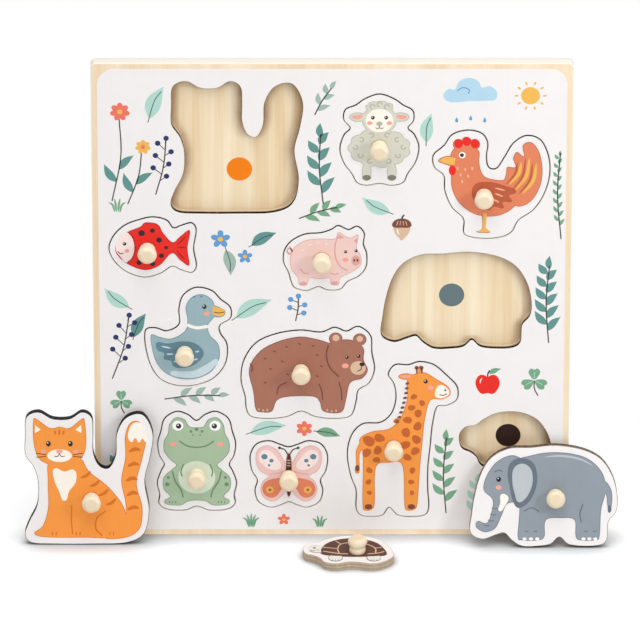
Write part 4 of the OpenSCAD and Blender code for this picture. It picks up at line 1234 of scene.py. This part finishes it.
class Pig(Animal):
    """Pink pig."""

    tint = Tint.PINK
    rim = Tint.PINK_DEEP

    def details(self, pen: Pen) -> None:
        """Snout, ears, cheek, curly tail and hooves."""
        pen.line(0.7, 655, 840, 620, 700, 625, 520, 685, 370, 770, 310)
        pen.oval(self.rim, 868, 465, 52, 80, layer=2)
        for x in (850, 887):
            pen.oval(Tint.BROWN_INK, x, 470, 10, 22, layer=3)
        for x, y in ((745, 600), (872, 615)):
            pen.eye(x, y, 18, 24, (5, 8, 5, 6))
        pen.oval(Tint.ROSE, 745, 475, 34, 34)
        pen.patch(self.rim, 845, 775, 885, 815, 882, 715, corner=1.0)
        pen.patch(self.rim, 655, 800, 665, 872, 735, 815, corner=1.0)
        pen.line(0.8, 115, 600, 75, 655, 45, 615, 75, 565, 105, 615, 75, 685, layer=2)
        for x, y in ((238, 110), (615, 118)):
            pen.oval(self.rim, x, y, 42, 28)
        pen.line(0.6, 200, 340, 250, 270, 310, 260)
        pen.line(0.6, 560, 270, 620, 250, 665, 275)
        for hair in pen.places(220, 620, 300, 700, 400, 730, 500, 720):
            hair.brush(0.8, 0, 0, 30, 12, tint=Tint.PINK_PALE)


class Duck(Animal):
    """Blue grey duck."""

    tint = Tint.BLUE_GREY
    rim = Tint.BLUE_DEEP

    def details(self, pen: Pen) -> None:
        """Wing, neck ring, mustard bill and the light below the wing."""
        pen.patch(Tint.MUSTARD, 785, 728, 880, 708, 930, 735, 915, 772, 785, 812, corner=1.2)
        pen.line(0.45, 800, 752, 860, 742, 918, 752, tint=Tint.BROWN_INK, layer=2)
        pen.eye(690, 805, 26, 23, (7, 8, 7, 6))
        pen.oval(Tint.ROSE, 715, 735, 36, 21)
        pen.line(2.0, 485, 622, 600, 592, 735, 606, tint=Tint.CREAM)
        pen.patch(Tint.BLUE_PALE, 290, 135, 420, 88, 620, 95, 765, 165, 840, 270, 720, 225, 560, 155,
                  420, 150)
        pen.patch(self.rim, 135, 440, 260, 432, 440, 455, 600, 425, 680, 335, 600, 235, 460, 185, 330, 200,
                  300, 255, 220, 275, 220, 335, 150, 360, layer=2)
        for path in ((190, 405, 300, 385), (245, 325, 330, 325), (330, 245, 400, 265)):
            pen.brush(1.0, *path, tint=Tint.BLUE_PALE, layer=3)
        for feather in pen.places(580, 345, 560, 265, 460, 235):
            feather.brush(0.9, 0, 0, 50, 12, tint=Tint.BLUE_PALE, layer=3)
        for tuft in pen.places(560, 900, 640, 900):
            tuft.brush(0.8, 0, 0, 30, 15)


class Bear(Animal):
    """Brown bear."""

    tint = Tint.BROWN
    rim = Tint.BROWN_DEEP

    def details(self, pen: Pen) -> None:
        """Muzzle, ears, claws, and strokes that part the legs from the body."""
        pen.line(0.9, 655, 800, 640, 690, 665, 560, 735, 455)
        pen.oval(Tint.SAND, 878, 552, 58, 74, layer=2)
        pen.oval(Tint.INK, 908, 592, 20, 21, layer=3)
        pen.line(0.5, 905, 570, 898, 535, 868, 515, tint=Tint.INK, layer=3)
        for x, y in ((795, 668), (882, 680)):
            pen.eye(x, y, 13, 18, (4, 6, 4, 5))
        pen.oval(Tint.ROSE, 782, 575, 26, 27)
        pen.oval(Tint.SAND, 712, 878, 26, 34)
        pen.oval(Tint.SAND, 890, 868, 24, 32)
        for claw in pen.places(130, 100, 162, 88, 194, 92, 645, 90, 678, 78, 711, 84):
            claw.line(0.8, 0, 14, 4, -10, tint=Tint.SAND)
        pen.line(0.8, 345, 400, 285, 350, 268, 260)
        pen.line(0.8, 585, 380, 605, 300, 612, 200)
        pen.line(0.8, 735, 400, 752, 300, 756, 200)
        pen.line(0.9, 68, 600, 85, 560, 78, 510)
        for hair in pen.places(170, 660, 240, 740, 330, 790, 430, 820, 530, 800, 210, 550, 300, 630, 560, 700,
                               590, 580, 170, 400, 340, 490, 560, 470):
            hair.brush(0.8, 0, 0, 22, -16)


class Giraffe(Animal):
    """Orange giraffe."""

    # Middle of each spot in thousandths, and its reach in millimetres
    spots: ClassVar = (
        (195, 490, 3.4), (175, 415, 2.7), (290, 510, 2.9), (275, 430, 2.6), (265, 368, 2.0), (530, 545, 2.8),
        (525, 465, 2.7), (625, 500, 2.7), (615, 425, 2.5), (545, 385, 2.3), (635, 585, 2.6), (545, 625, 2.4),
        (640, 668, 2.3), (580, 705, 2.0), (675, 735, 1.8), (600, 775, 1.8), (200, 300, 1.9), (192, 225, 1.7),
        (200, 155, 1.4), (590, 300, 1.9), (580, 225, 1.7), (588, 155, 1.4), (445, 620, 1.6))

    def details(self, pen: Pen) -> None:
        """Spots, mane, horns, face, hooves and the tail's tuft.

        A spot is uneven, with five soft corners, and turned a little further than the one before.
        """
        for number, (x, y, size) in enumerate(self.spots):
            angles = np.radians(np.arange(5) * 72 + number * 29)
            reach = size * (1 + 0.16 * np.sin(3 * angles + number))
            corners = np.stack([reach * np.cos(angles), reach * np.sin(angles)], axis=1) / pen.art.scale
            pen.patch(Tint.CHESTNUT, *(corners * 1000 + (x, y)).ravel())
        for step in range(9):
            x, y = 546 - 4 * step - 0.9 * step**2, 865 - 31 * step
            pen.brush(1.5, x + 12, y, x - 22, y - 8, tint=Tint.BROWN_DEEP, layer=2)
        for x in (628, 672):
            pen.line(0.9, x, 925, x - 4, 958, tint=Tint.BROWN_DEEP, layer=2)
            pen.oval(Tint.BROWN_DEEP, x - 4, 962, 18, 11, layer=2)
        pen.patch(Tint.ROSE, 485, 905, 530, 915, 575, 908, 530, 896)
        pen.eye(706, 874, 19, 13, (5, 4, 5, 4))
        pen.patch(Tint.CREAM, 835, 852, 900, 832, 922, 800, 865, 768, 800, 775, 795, 815)
        pen.oval(Tint.INK, 885, 818, 9, 6, layer=2)
        pen.line(0.5, 830, 790, 865, 785, 900, 795, tint=Tint.INK, layer=2)
        pen.oval(Tint.ROSE, 752, 835, 28, 16)
        for x in (193, 583):
            pen.oval(Tint.BROWN_DEEP, x, 64, 34, 17)
        pen.brush(2.6, 92, 335, 90, 310, 93, 293, tint=Tint.BROWN_DEEP)


class Frog(Animal):
    """Sage green frog."""

    tint = Tint.SAGE_GREEN
    rim = Tint.GREEN_DEEP

    def details(self, pen: Pen) -> None:
        """Round eyes, wide smile, pale belly, and strokes that part the limbs."""
        pen.oval(Tint.GREEN_PALE, 500, 335, 235, 165)
        pen.line(0.9, 280, 705, 380, 655, 500, 640, 620, 655, 720, 705)
        for half in pen.sides(500):
            half.oval(Tint.WHITE, 235, 858, 70, 50)
            half.eye(225, 855, 34, 26, (8, 9, 9, 7), layer=2)
            half.oval(Tint.ROSE, 295, 672, 42, 24)
            half.oval(self.rim, 45, 765, 11, 8)
            half.line(0.9, 310, 400, 275, 300, 200, 205, 175, 130, layer=2)
            half.line(0.8, 165, 470, 200, 395, 185, 345, layer=2)
            for x in (270, 310, 350):
                half.line(0.6, x, 98, x, 72)
            half.oval(self.rim, 375, 265, 28, 20)
            half.oval(self.rim, 362, 335, 20, 15)
        for x, y, radius in ((430, 800, 18), (500, 822, 24), (570, 800, 18)):
            pen.oval(self.rim, x, y, radius, radius * 0.7)


class Butterfly(Animal):
    """Pink butterfly."""

    tint = Tint.PINK_WING
    rim = Tint.PINK_DEEP

    def details(self, pen: Pen) -> None:
        """Rust lower wings, pale fields with dots, dark body and feelers."""
        for half in pen.sides(500):
            half.patch(Tint.RUST, 55, 420, 100, 270, 190, 150, 295, 170, 345, 270, 310, 375, 200, 430)
            half.oval(Tint.MUSTARD, 245, 265, 50, 52, layer=2)
            half.oval(Tint.RUST_DEEP, 245, 265, 20, 21, layer=3)
            half.patch(Tint.PINK_PALE, 100, 600, 200, 565, 320, 630, 385, 735, 355, 845, 270, 865, 160, 755)
            for x, y, radius in ((315, 765, 40), (225, 705, 28), (255, 635, 18)):
                half.oval(Tint.BLUE_DEEP, x, y, radius, radius, layer=2)
            half.line(0.6, 12, 790, 50, 865, 115, 895, tint=Tint.BROWN_INK)
            half.oval(Tint.BROWN_INK, 120, 897, 18, 18, layer=2)
            half.line(0.6, 70, 545, 150, 515, 250, 500)
        pen.oval(Tint.BROWN_INK, 500, 490, 40, 325, layer=2)
        for y in (245, 285, 630, 670, 710):
            pen.line(0.6, 478, y, 522, y, tint=Tint.SAND, layer=3)


@dataclass
class Board:
    """The board: tray panel, backing sheet, printed face, pocket floors and colour spots."""

    paints: Paints
    nodes: dict[str, bpy.types.Object]
    body: str = "board"
    arris: float = 0.35
    pocket_arris: float = 0.15
    face_arris: float = 0.05
    # Brown on the empty pocket floors, laser smoke together with painted shade from the walls: its reach and
    # depth, how fast it falls above and below a wall, and how much less starts at a wall that looks up
    smoke_shade_reach: float = 5.6
    smoke_shade_depth: float = 0.8
    fall_above: float = 4.0
    fall_below: float = 1.6
    foot_fade: float = 0.7
    floor_t: float = 0.03
    grid_step: float = 1.0
    spots: tuple[tuple[str, Tint, str], ...] = (
        ("cat_spot", Tint.SPOT_ORANGE, "cat_ink"), ("elephant_spot", Tint.SPOT_SLATE, "slate_spot_ink"),
        ("turtle_spot", Tint.SPOT_BROWN, "turtle_ink"))

    def __post_init__(self) -> None:
        self.flat = Flat.upright()
        outer, *pockets = face_loops(self.flat, self.nodes["tray_panel"])
        self.outer = closed_curve(outer, 2)
        self.pockets = [closed_curve(pocket, 4) for pocket in pockets]

    def pocket_of(self, name: str) -> int:
        """Number of the pocket that holds a spot: the one whose mean point is nearest."""
        low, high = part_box(name)
        middle = np.array([low.x + high.x, low.z + high.z]) / 2 / MM
        return int(np.argmin([np.linalg.norm(pocket.mean(axis=0) - middle) for pocket in self.pockets]))

    def levels(self, name: str) -> Pair:
        """Back and front level of a node on the board, in millimetres towards the viewer."""
        low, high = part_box(name)
        return -high.y / MM, -low.y / MM

    def build(self) -> None:
        """Builds and dresses the board's layers."""
        self.panel()
        shape = FlatMesh(self.flat)
        shape.slab([self.outer], Rim(*self.levels("backing_board"), self.arris, 0))
        finishes = self.paints.get(BACK_WOOD, BACKING_EDGE, BACK_WOOD)
        shape.made("backing_layer", self.body, "backing_ply", finishes, "backing_board")
        self.printed("board_print", "printed_face", "board_face", WHITE_FACE, self.face_arris, 4)
        for name, tint, slot in self.spots:
            self.pocket_floor(name)
            self.printed(name, f"{name}_ink", slot, tint.ink(), INK_ARRIS, 2)

    def panel(self) -> None:
        """Front layer: sawn pale outside, laser-browned in the empty pockets and drawn pale in the filled ones
        as painted light, so the kerf below a seated piece reads lit, with its plies on every edge.
        """
        low, high = self.levels("tray_panel")
        shape = FlatMesh(self.flat)
        ends = [shape.walls(self.outer, Rim(low, high, 0, self.arris))]
        empty = [self.pocket_of(name) for name, _, _ in self.spots]
        ends += [shape.walls(pocket, Rim(low, high, 0, self.pocket_arris, steps=2),
                             Part.EMPTY if number in empty else Part.FILLED)
                 for number, pocket in enumerate(self.pockets)]
        shape.cap([top for _, top in ends], Part.FRONT)
        shape.cap([bottom for bottom, _ in ends], Part.BACK, up=False)
        finishes = self.paints.get(PANEL_WOOD, PANEL_EDGE, BACK_WOOD, EMPTY_EDGE, FILLED_EDGE_PAINTED_LIT)
        shape.made("panel_layer", self.body, "panel_ply", finishes, "tray_panel")

    def printed(self, node: str, name: str, slot: str, finish: Finish, arris: float, steps: int) -> None:
        """Printed layer with the outlines of a node.

        Args:
            node: The node that it replaces.
            name, slot: The piece's name and its slot in the record.
            finish: Its ink.
            arris: Rounding of its edge, in millimetres.
            steps: Points taken between two corners of an outline.
        """
        loops = [closed_curve(loop, steps) for loop in face_loops(self.flat, self.nodes[node])]
        shape = FlatMesh(self.flat)
        shape.slab(loops, Rim(*self.levels(node), 0, arris, steps=1))
        shape.made(name, self.body, slot, self.paints.get(finish), node)

    def pocket_floor(self, name: str) -> None:
        """Floor of the empty pocket that holds a spot, browned towards the cut by laser smoke and painted
        shade.

        From each point of the wall the brown falls with what is left of its reach, to the power 1.3, and the
        deepest counts. A step up from a wall counts for most, one down for less and one sideways for its
        length, so the painted shade reaches further below the upper walls than above the foot. A wall that
        looks up starts with less, for the light that falls on the foot. So the brown is broad at the sides and
        thin at the foot.
        """
        outline = self.pockets[self.pocket_of(name)][::-1]
        grid = np.meshgrid(*(np.arange(axis.min(), axis.max(), self.grid_step) for axis in outline.T))
        flat_points = np.vstack([outline, np.stack(grid, axis=-1).reshape(-1, 2)])
        ring = [(i, (i + 1) % len(outline)) for i in range(len(outline))]
        found = delaunay_2d_cdt([Vector(point) for point in flat_points.tolist()], ring, [], 1, 1e-5)
        points, triangles = np.array([tuple(v) for v in found[0]]), np.array(found[2])
        aside, rise = np.moveaxis(points[:, None] - outline[None], 2, 0)
        # Painted shade with the smoke: the brown reaches further below an upper wall and beside the side walls
        # than above the foot
        distance = np.hypot(aside, np.where(rise > 0, self.fall_above, self.fall_below) * rise)
        depth = self.smoke_shade_depth * (1 - self.foot_fade * np.clip(left_normals(outline)[:, 1], 0, 1))
        tone_mask = (depth * np.clip(1 - distance / self.smoke_shade_reach, 0, 1) ** 1.3).max(axis=1)
        rim = rim_edges(triangles)
        back = self.levels("backing_board")[1]
        shape = FlatMesh(self.flat)
        for level in (back, back + self.floor_t):
            shape.points(np.column_stack([points, np.full(len(points), level)]), tone_mask)
        shape.face(triangles[:, ::-1], Part.BACK)
        shape.face(triangles + len(points), Part.FRONT)
        shape.face(np.column_stack([rim, rim[:, ::-1] + len(points)]), Part.WALL)
        floor = name.replace("spot", "pocket_floor")
        shape.made(floor, self.body, "backing_ply", self.paints.get(FLOOR_WOOD))


@dataclass
class Meadow:
    """Plants and weather printed between the pockets, in millimetres from the middle of the board's foot."""

    paints: Paints
    face: float
    body: str = "board"
    rib_w: float = 0.45
    stem_w: float = 0.7
    berry_out: float = 4.2
    berry_halves: Pair = (1.55, 1.6)
    art: Drawing = field(init=False)

    def __post_init__(self) -> None:
        self.art = Drawing(Flat.upright(), self.face, np.ones(2))

    def pen(self, origin: Pair, size: float = 1000, turn: float = 0) -> Pen:
        """Pen that draws in thousandths of a motif's size, or in millimetres, its strokes in a stem's tint."""
        return Pen(self.art, Tint.STEM, origin, size / 1000, turn=turn)

    def build(self) -> None:
        """Draws every motif in its place and makes them one piece."""
        self.upper_rows()
        self.middle_rows()
        self.lower_rows()
        self.art.made("board_motifs", self.body, "board_face", self.paints)

    def upper_rows(self) -> None:
        """Blooms and berries at the left, and a cloud with its rain, the sun and a fern at the right."""
        self.bloom((-126, 214), (-121, 270), 5.6, Tint.CORAL, Tint.MUSTARD)
        self.bloom((-117, 212), (-108, 248), 4.4, Tint.MUSTARD, Tint.CORAL)
        self.berries((-101, 218), 80, 36, 7, Tint.NAVY)
        self.grass((-123, 207), 9, 4)
        self.leaf((-104, 266), 68, 21, 9.0, Tint.MINT)
        self.sprig((-5, 212), 92, 50, 8, 12.0, Tint.TEAL)
        self.sprig((-10, 268), 60, 22, 5, 8.0, Tint.SAGE_LEAF)
        self.cloud((79, 277), 30)
        for shift in (-8, 0, 8):
            self.drop((79 + shift, 268 - abs(shift) * 0.15), 3.4)
        self.sun((113, 280), 5.4)
        self.sprig((131.4, 190), 91, 62, 17, 5.0, Tint.LEAF_GREEN, lean=36)
        self.leaf((54, 251), 82, 18, 7.5, Tint.MINT)

    def middle_rows(self) -> None:
        """Flowers, leaves, an acorn and berries between the middle rows."""
        self.flower((-64, 190), 5.6, 5, Tint.BLUE, Tint.MUSTARD)
        self.flower((-50, 179), 4.3, 5, Tint.BLUE, Tint.MUSTARD)
        self.leaf((-61, 183), -80, 16, 7.0, Tint.SAGE_LEAF)
        self.leaf((-46, 186), 30, 16, 7.0, Tint.TEAL)
        self.sprig((-19, 203), 18, 26, 6, 9.0, Tint.LEAF_GREEN)
        self.acorn((40, 197), 15)
        self.leaf((33, 207), 150, 18, 8.0, Tint.MINT)
        self.berries((-127, 101), 76, 42, 8, Tint.NAVY)
        self.leaf((-117, 147), 140, 18, 8.0, Tint.MINT)
        self.leaf((-114, 128), 66, 16, 7.0, Tint.TEAL)
        self.leaf((-55, 140), 30, 23, 9.5, Tint.MINT)
        self.berries((-21, 138), 84, 16, 5, Tint.BLUE)
        self.sprig((125, 124), 90, 56, 11, 11.0, Tint.TEAL, lean=40)

    def lower_rows(self) -> None:
        """Apple, clover and grass between the lower rows."""
        self.sprig((-97, 88), 4, 37, 7, 9.0, Tint.SAGE_LEAF)
        self.clover((-122, 87), 6.4)
        self.leaf((-47, 66), 14, 21, 8.5, Tint.MINT)
        self.flower((-16, 69), 4.8, 6, Tint.CORAL, Tint.MUSTARD)
        self.leaf((-9, 67), -12, 14, 6.0, Tint.LEAF_GREEN)
        self.apple((90, 98), 7.4)
        self.clover((117, 100), 7.6)
        self.sprig((66.5, 14), 90, 56, 10, 10.0, Tint.LEAF_GREEN, lean=44)
        self.sprig((84, 8), 88, 30, 7, 9.0, Tint.MINT)
        self.grass((-47, 5), 9, 5)
        self.grass((-7, 5), 8, 4)
        self.flower((-28, 10), 3.6, 5, Tint.CORAL, Tint.MUSTARD)
        self.bloom((118, 7), (122, 30), 4.4, Tint.BLUE, Tint.MUSTARD)
        self.grass((-112, 6), 10, 5)
        self.sprig((-126, 12), 86, 44, 9, 10.0, Tint.TEAL)

    def leaf(self, start: Pair, angle: float, length: float, width: float, tint: Tint, rib: bool = True
             ) -> None:
        """Leaf from its stalk in a direction, with a slightly bent middle rib unless it is too small."""
        pen = self.pen(start, length, angle)
        pen.line(width, 0, 0, 500, 70, 1000, 0, tint=tint, tip=Tip.LEAF)
        if rib:
            pen.line(self.rib_w, -140, 0, 500, 70, 860, 0, layer=2)

    def sprig(self, start: Pair, angle: float, length: float, leaves: int, size: float, tint: Tint,
              lean: float = 38) -> None:
        """Stem with leaves to its left and right in turn, which get shorter towards the tip.

        Args:
            start: The stem's foot.
            angle: Its direction, in degrees.
            length: Its length.
            leaves: How many leaves it has, one of them at the tip.
            size: Length of the lowest leaf.
            tint: The leaves' ink.
            lean: Angle between stem and leaf, in degrees.
        """
        pen = self.pen(start, length, angle)
        pen.line(self.stem_w, 0, 0, 450, 30, 880, 0, layer=2)
        for number in range(leaves - 1):
            share = 0.14 + 0.72 * number / (leaves - 1)
            foot = pen.shares(1000 * share, 30 * math.sin(math.pi * share))[0]
            side = 1 if number % 2 else -1
            self.leaf(foot, angle + side * lean, size * (1.1 - 0.45 * share), size * 0.40, tint, rib=False)
        self.leaf(pen.shares(840, 0)[0], angle, size * 0.75, size * 0.34, tint, rib=False)

    def berries(self, start: Pair, angle: float, length: float, count: int, tint: Tint) -> None:
        """Twig with round berries on short stalks, to its left and right in turn."""
        pen = self.pen(start, length, angle)
        pen.line(self.stem_w, 0, 0, 500, -40, 1000, 0)
        for number in range(count):
            share = 0.35 + 0.65 * number / (count - 1)
            side = 0 if number == count - 1 else 1 if number % 2 else -1
            end = pen.shares(1000 * share, side * self.berry_out / pen.unit)[0]
            foot = pen.shares(1000 * share - 90, -40 * math.sin(math.pi * share))[0]
            self.pen((0, 0)).line(0.5, *foot, *end)
            self.pen(end).oval(tint, 0, 0, *self.berry_halves, layer=2)

    def flower(self, middle: Pair, radius: float, petals: int, tint: Tint, heart: Tint) -> None:
        """Round flower: equal petals about a middle of another colour."""
        for number in range(petals):
            petal = oval((580, 0), 440, 310, 20).ravel()
            layer = 3 if number == petals - 1 else 1 + number % 2
            self.pen(middle, radius, 90 + number * 360 / petals).patch(tint, *petal, layer=layer, steps=1)
        self.pen(middle, radius).oval(heart, 0, 0, 270, 270, layer=4)

    def bloom(self, foot: Pair, head: Pair, radius: float, tint: Tint, heart: Tint) -> None:
        """Flower on a stem with two leaves."""
        angle = math.degrees(math.atan2(head[1] - foot[1], head[0] - foot[0]))
        pen = self.pen(foot, math.dist(foot, head), angle)
        pen.line(self.stem_w, 0, 0, 500, -50, 1000 - 0.8 * radius / pen.unit, 0)
        for way, aside, lean, length, width in ((220, -30, 38, 13, 4.6), (360, -45, -38, 12, 4.4)):
            self.leaf(pen.shares(way, aside)[0], angle + lean, length, width, Tint.TEAL, rib=False)
        self.flower(head, radius, 7, tint, heart)

    def grass(self, foot: Pair, height: float, blades: int) -> None:
        """Tuft of blades that fan out from a foot."""
        pen = self.pen(foot, height)
        for share in np.linspace(-1, 1, blades):
            pen.brush(1.2, 160 * share, 0, 290 * share, 500, 550 * share, 1000 - 300 * share**2,
                      tint=Tint.LEAF_GREEN)

    def cloud(self, middle: Pair, width: float) -> None:
        """Cloud with a flat foot and three humps."""
        pen = self.pen(middle, width)
        pen.patch(Tint.SKY, -460, 0, -520, 120, -420, 240, -310, 230, -230, 390, -40, 470, 140, 400, 210, 270,
                  350, 300, 490, 190, 480, 40, 400, 0, 0, -10)
        pen.line(0.6, -260, 200, -150, 270, -30, 220, -50, 140, tint=Tint.BLUE, layer=2)

    def drop(self, top: Pair, length: float) -> None:
        """Rain drop: across = 0.36 sin t |sin(t/2)|^1.5 and down = (1 - cos t) / 2, in lengths."""
        t = np.linspace(0, 2 * math.pi, 24, endpoint=False)
        shape = np.stack([360 * np.sin(t) * np.abs(np.sin(t / 2)) ** 1.5, 500 * (np.cos(t) - 1)], axis=1)
        self.pen(top, length).patch(Tint.BLUE, *shape.ravel(), steps=1)

    def sun(self, middle: Pair, radius: float) -> None:
        """Round sun with short rays."""
        self.pen(middle, radius).oval(Tint.MUSTARD, 0, 0, 1000, 1000)
        for angle in range(0, 360, 36):
            self.pen(middle, radius, angle).line(1.1, 1280, 0, 1680, 0, tint=Tint.MUSTARD)

    def clover(self, middle: Pair, radius: float) -> None:
        """Clover of three leaves, each with a rib, on a bent stalk."""
        self.pen(middle, radius).line(self.stem_w, 0, 0, 20, -700, 300, -1300)
        for layer, angle in ((1, 90), (2, 210), (1, 330)):
            pen = self.pen(middle, radius, angle)
            pen.patch(Tint.LEAF_GREEN, 80, 0, 360, -300, 740, -440, 1000, -240, 900, 0, 1000, 240, 740, 440,
                      360, 300, layer=layer)
            pen.line(self.rib_w, 160, 0, 720, 0, tint=Tint.MINT, layer=3)

    def acorn(self, middle: Pair, height: float) -> None:
        """Acorn with a hatched cap and a stalk."""
        pen = self.pen(middle, height)
        pen.patch(Tint.SAND, -300, 100, -270, -200, -100, -420, 0, -520, 100, -420, 270, -200, 300, 100)
        pen.patch(Tint.BROWN_DEEP, -360, 80, -340, 240, -160, 380, 160, 380, 340, 240, 360, 80, 0, 20,
                  layer=2)
        for x in (-200, -70, 70, 200):
            pen.line(0.4, x, 110, x * 0.7, 300, tint=Tint.SAND, layer=3)
        pen.line(0.9, 0, 360, 30, 480, 100, 560, layer=3)
        pen.brush(0.8, -170, -20, -150, -180, -90, -280, tint=Tint.CREAM, layer=2)

    def apple(self, middle: Pair, radius: float) -> None:
        """Red apple with a stalk, a leaf and a glint."""
        pen = self.pen(middle, radius)
        pen.patch(Tint.RED, 0, -840, 420, -900, 840, -420, 940, 200, 620, 720, 200, 700, 0, 560, -200, 700,
                  -620, 720, -940, 200, -840, -420, -420, -900)
        stalk, glint = (self.pen(spot) for spot in pen.shares(0, 550, -580, 0))
        stalk.line(0.8, 0, 0, 0.2, 2.4, 1.2, 4.4, layer=2)
        self.leaf(stalk.shares(0.8, 2.2)[0], 25, 7.5, 3.2, Tint.LEAF_GREEN, rib=False)
        glint.brush(0.8, 0, 0, 0.2, 2.0, 1.2, 3.4, tint=Tint.PINK_PALE, layer=2)


@dataclass(frozen=True)
class Studio:
    """Camera at the photograph's angle, soft lamps, and a pale floor."""

    elevation: float = math.radians(25.4)
    distance: float = 5.0
    target: tuple[float, float, float] = (-0.0069, -0.004, 0.1389)
    scale_px: float = 1735.0
    image_w: float = 640.0
    sensor: float = 36.0
    floor_half: float = 3.0
    paper: Colour = srgb(245, 247, 250)
    # To the camera the paper is a little brighter, and plain white outside an oval that holds the shadows
    floor_glow: float = 0.34
    shadow_middle: tuple[float, float, float] = (0.0, -0.04, 0.0)
    shadow_halves: tuple[float, float, float] = (0.29, 0.12, 1.0)
    # Painted contact shadow at the foot of whatever stands on the paper, from an occlusion node: how far it
    # reaches, and the power of its fall
    contact_reach: float = 0.022
    contact_fall: float = 0.75
    ambient: float = 0.30
    # Name, place, size and power of each lamp; all look at the board's middle
    lamps: tuple[tuple[str, tuple[float, float, float], float, float], ...] = (
        ("top_lamp", (0.0, -0.75, 1.9), 1.5, 24.0),
        ("left_lamp", (-0.85, -0.75, 0.65), 0.45, 1.6),
        ("right_lamp", (0.75, -0.60, 0.55), 0.22, 3.0))

    def build(self) -> None:
        """Sets up everything that isn't part of the puzzle."""
        scene = bpy.context.scene
        scene.view_settings.view_transform = "Standard"
        self.camera(scene)
        self.world(scene)
        self.floor()
        for name, place, size, power in self.lamps:
            data = bpy.data.lights.new(name, "AREA")
            data.shape, data.size, data.energy = "SQUARE", size, power
            self.aimed(name, data, Vector(place), Vector(self.target) - Vector(place))

    @staticmethod
    def aimed(name: str, data: bpy.types.ID, place: Vector, way: Vector) -> bpy.types.Object:
        """Camera or lamp at a place in metres, which looks that way."""
        made = linked(name, data)
        made.location = place
        made.rotation_mode = "QUATERNION"
        made.rotation_quaternion = way.to_track_quat("-Z", "Y")
        return made

    def camera(self, scene: bpy.types.Scene) -> None:
        """Camera that shows one metre at the target as scale_px pixels of the image."""
        data = bpy.data.cameras.new("camera")
        data.sensor_width = self.sensor
        data.lens = self.scale_px * self.distance / self.image_w * self.sensor
        data.clip_start, data.clip_end = 0.05, 50.0
        back = Vector((0.0, -math.cos(self.elevation), math.sin(self.elevation)))
        scene.camera = self.aimed("camera", data, Vector(self.target) + back * self.distance, -back)

    def world(self, scene: bpy.types.Scene) -> None:
        """White to the camera and in reflections, and a plain grey light to everything else."""
        scene.world = bpy.data.worlds.new("studio")
        w = Wiring.of(scene.world)
        path = w.put("LightPath").outputs
        seen = w.math("MAXIMUM", path["Is Camera Ray"], path["Is Glossy Ray"])
        seen = w.math("MAXIMUM", seen, path["Is Transmission Ray"])
        grey, white = (w.put("Background", {"Color": (1, 1, 1, 1), "Strength": strength}).outputs[0]
                       for strength in (self.ambient, 1.0))
        w.put("OutputWorld", {"Surface": w.put("MixShader", {0: seen, 1: grey, 2: white}).outputs[0]})

    def floor(self) -> None:
        """Wide pale sheet that keeps the puzzle's shadow, with a painted contact shadow near whatever touches
        it, and is plain white to the camera further off.
        """
        mesh = bpy.data.meshes.new("floor")
        corners = np.array([(-1, -1, 0), (1, -1, 0), (1, 1, 0), (-1, 1, 0)]) * self.floor_half
        mesh.from_pydata(corners.tolist(), [], [(0, 1, 2, 3)])
        material = bpy.data.materials.new("floor_paper")
        w = Wiring.of(material)
        camera = w.put("LightPath").outputs["Is Camera Ray"]
        # Painted contact shadow: the paper is darkened for the camera where an occlusion node finds something
        # near
        nearness = w.put("AmbientOcclusion", {"Distance": self.contact_reach}, samples=16).outputs["AO"]
        dark = w.math("POWER", w.math("SUBTRACT", 1.0, nearness, clamp=True), self.contact_fall)
        painted_contact_shade = w.math("SUBTRACT", 1.0, w.math("MULTIPLY", dark, camera))
        shader = w.put("BsdfPrincipled", {"Base Color": w.shade(self.paper[:3], painted_contact_shade), "Roughness": 0.9,
                                          "Specular IOR Level": 0.1})
        place = w.vector("SUBTRACT", w.put("TexCoord").outputs["Object"], self.shadow_middle)
        oval = w.vector("DIVIDE", place, self.shadow_halves)
        away = w.put("VectorMath", {0: oval}, operation="LENGTH").outputs["Value"]
        seen = w.math("MULTIPLY", camera, w.range(away, 0.75, 1.35))
        lift = w.math("MULTIPLY", w.math("MULTIPLY", camera, self.floor_glow), painted_contact_shade)
        glow, white = (w.put("Emission", {"Color": (1, 1, 1, 1), "Strength": strength}).outputs[0]
                       for strength in (lift, 1.0))
        paper = w.put("AddShader", {0: shader.outputs[0], 1: glow}).outputs[0]
        w.put("OutputMaterial", {"Surface": w.put("MixShader", {0: seen, 1: paper, 2: white}).outputs[0]})
        mesh.materials.append(material)
        linked("floor", mesh)


ANIMALS = (Cat, Elephant, Turtle, Lamb, Rooster, Fish, Pig, Duck, Bear, Giraffe, Frog, Butterfly)


def main() -> None:
    """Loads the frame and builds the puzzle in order."""
    logging.basicConfig(level=logging.INFO, format="%(name)s %(message)s")
    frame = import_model()
    Studio().build()
    paints = Paints(Effects.built())
    board = Board(paints, frame["nodes"])
    board.build()
    Meadow(paints, board.levels("tray_panel")[1]).build()
    for kind in ANIMALS:
        kind(paints, frame["nodes"]).build()


if __name__ == "__main__":
    main()
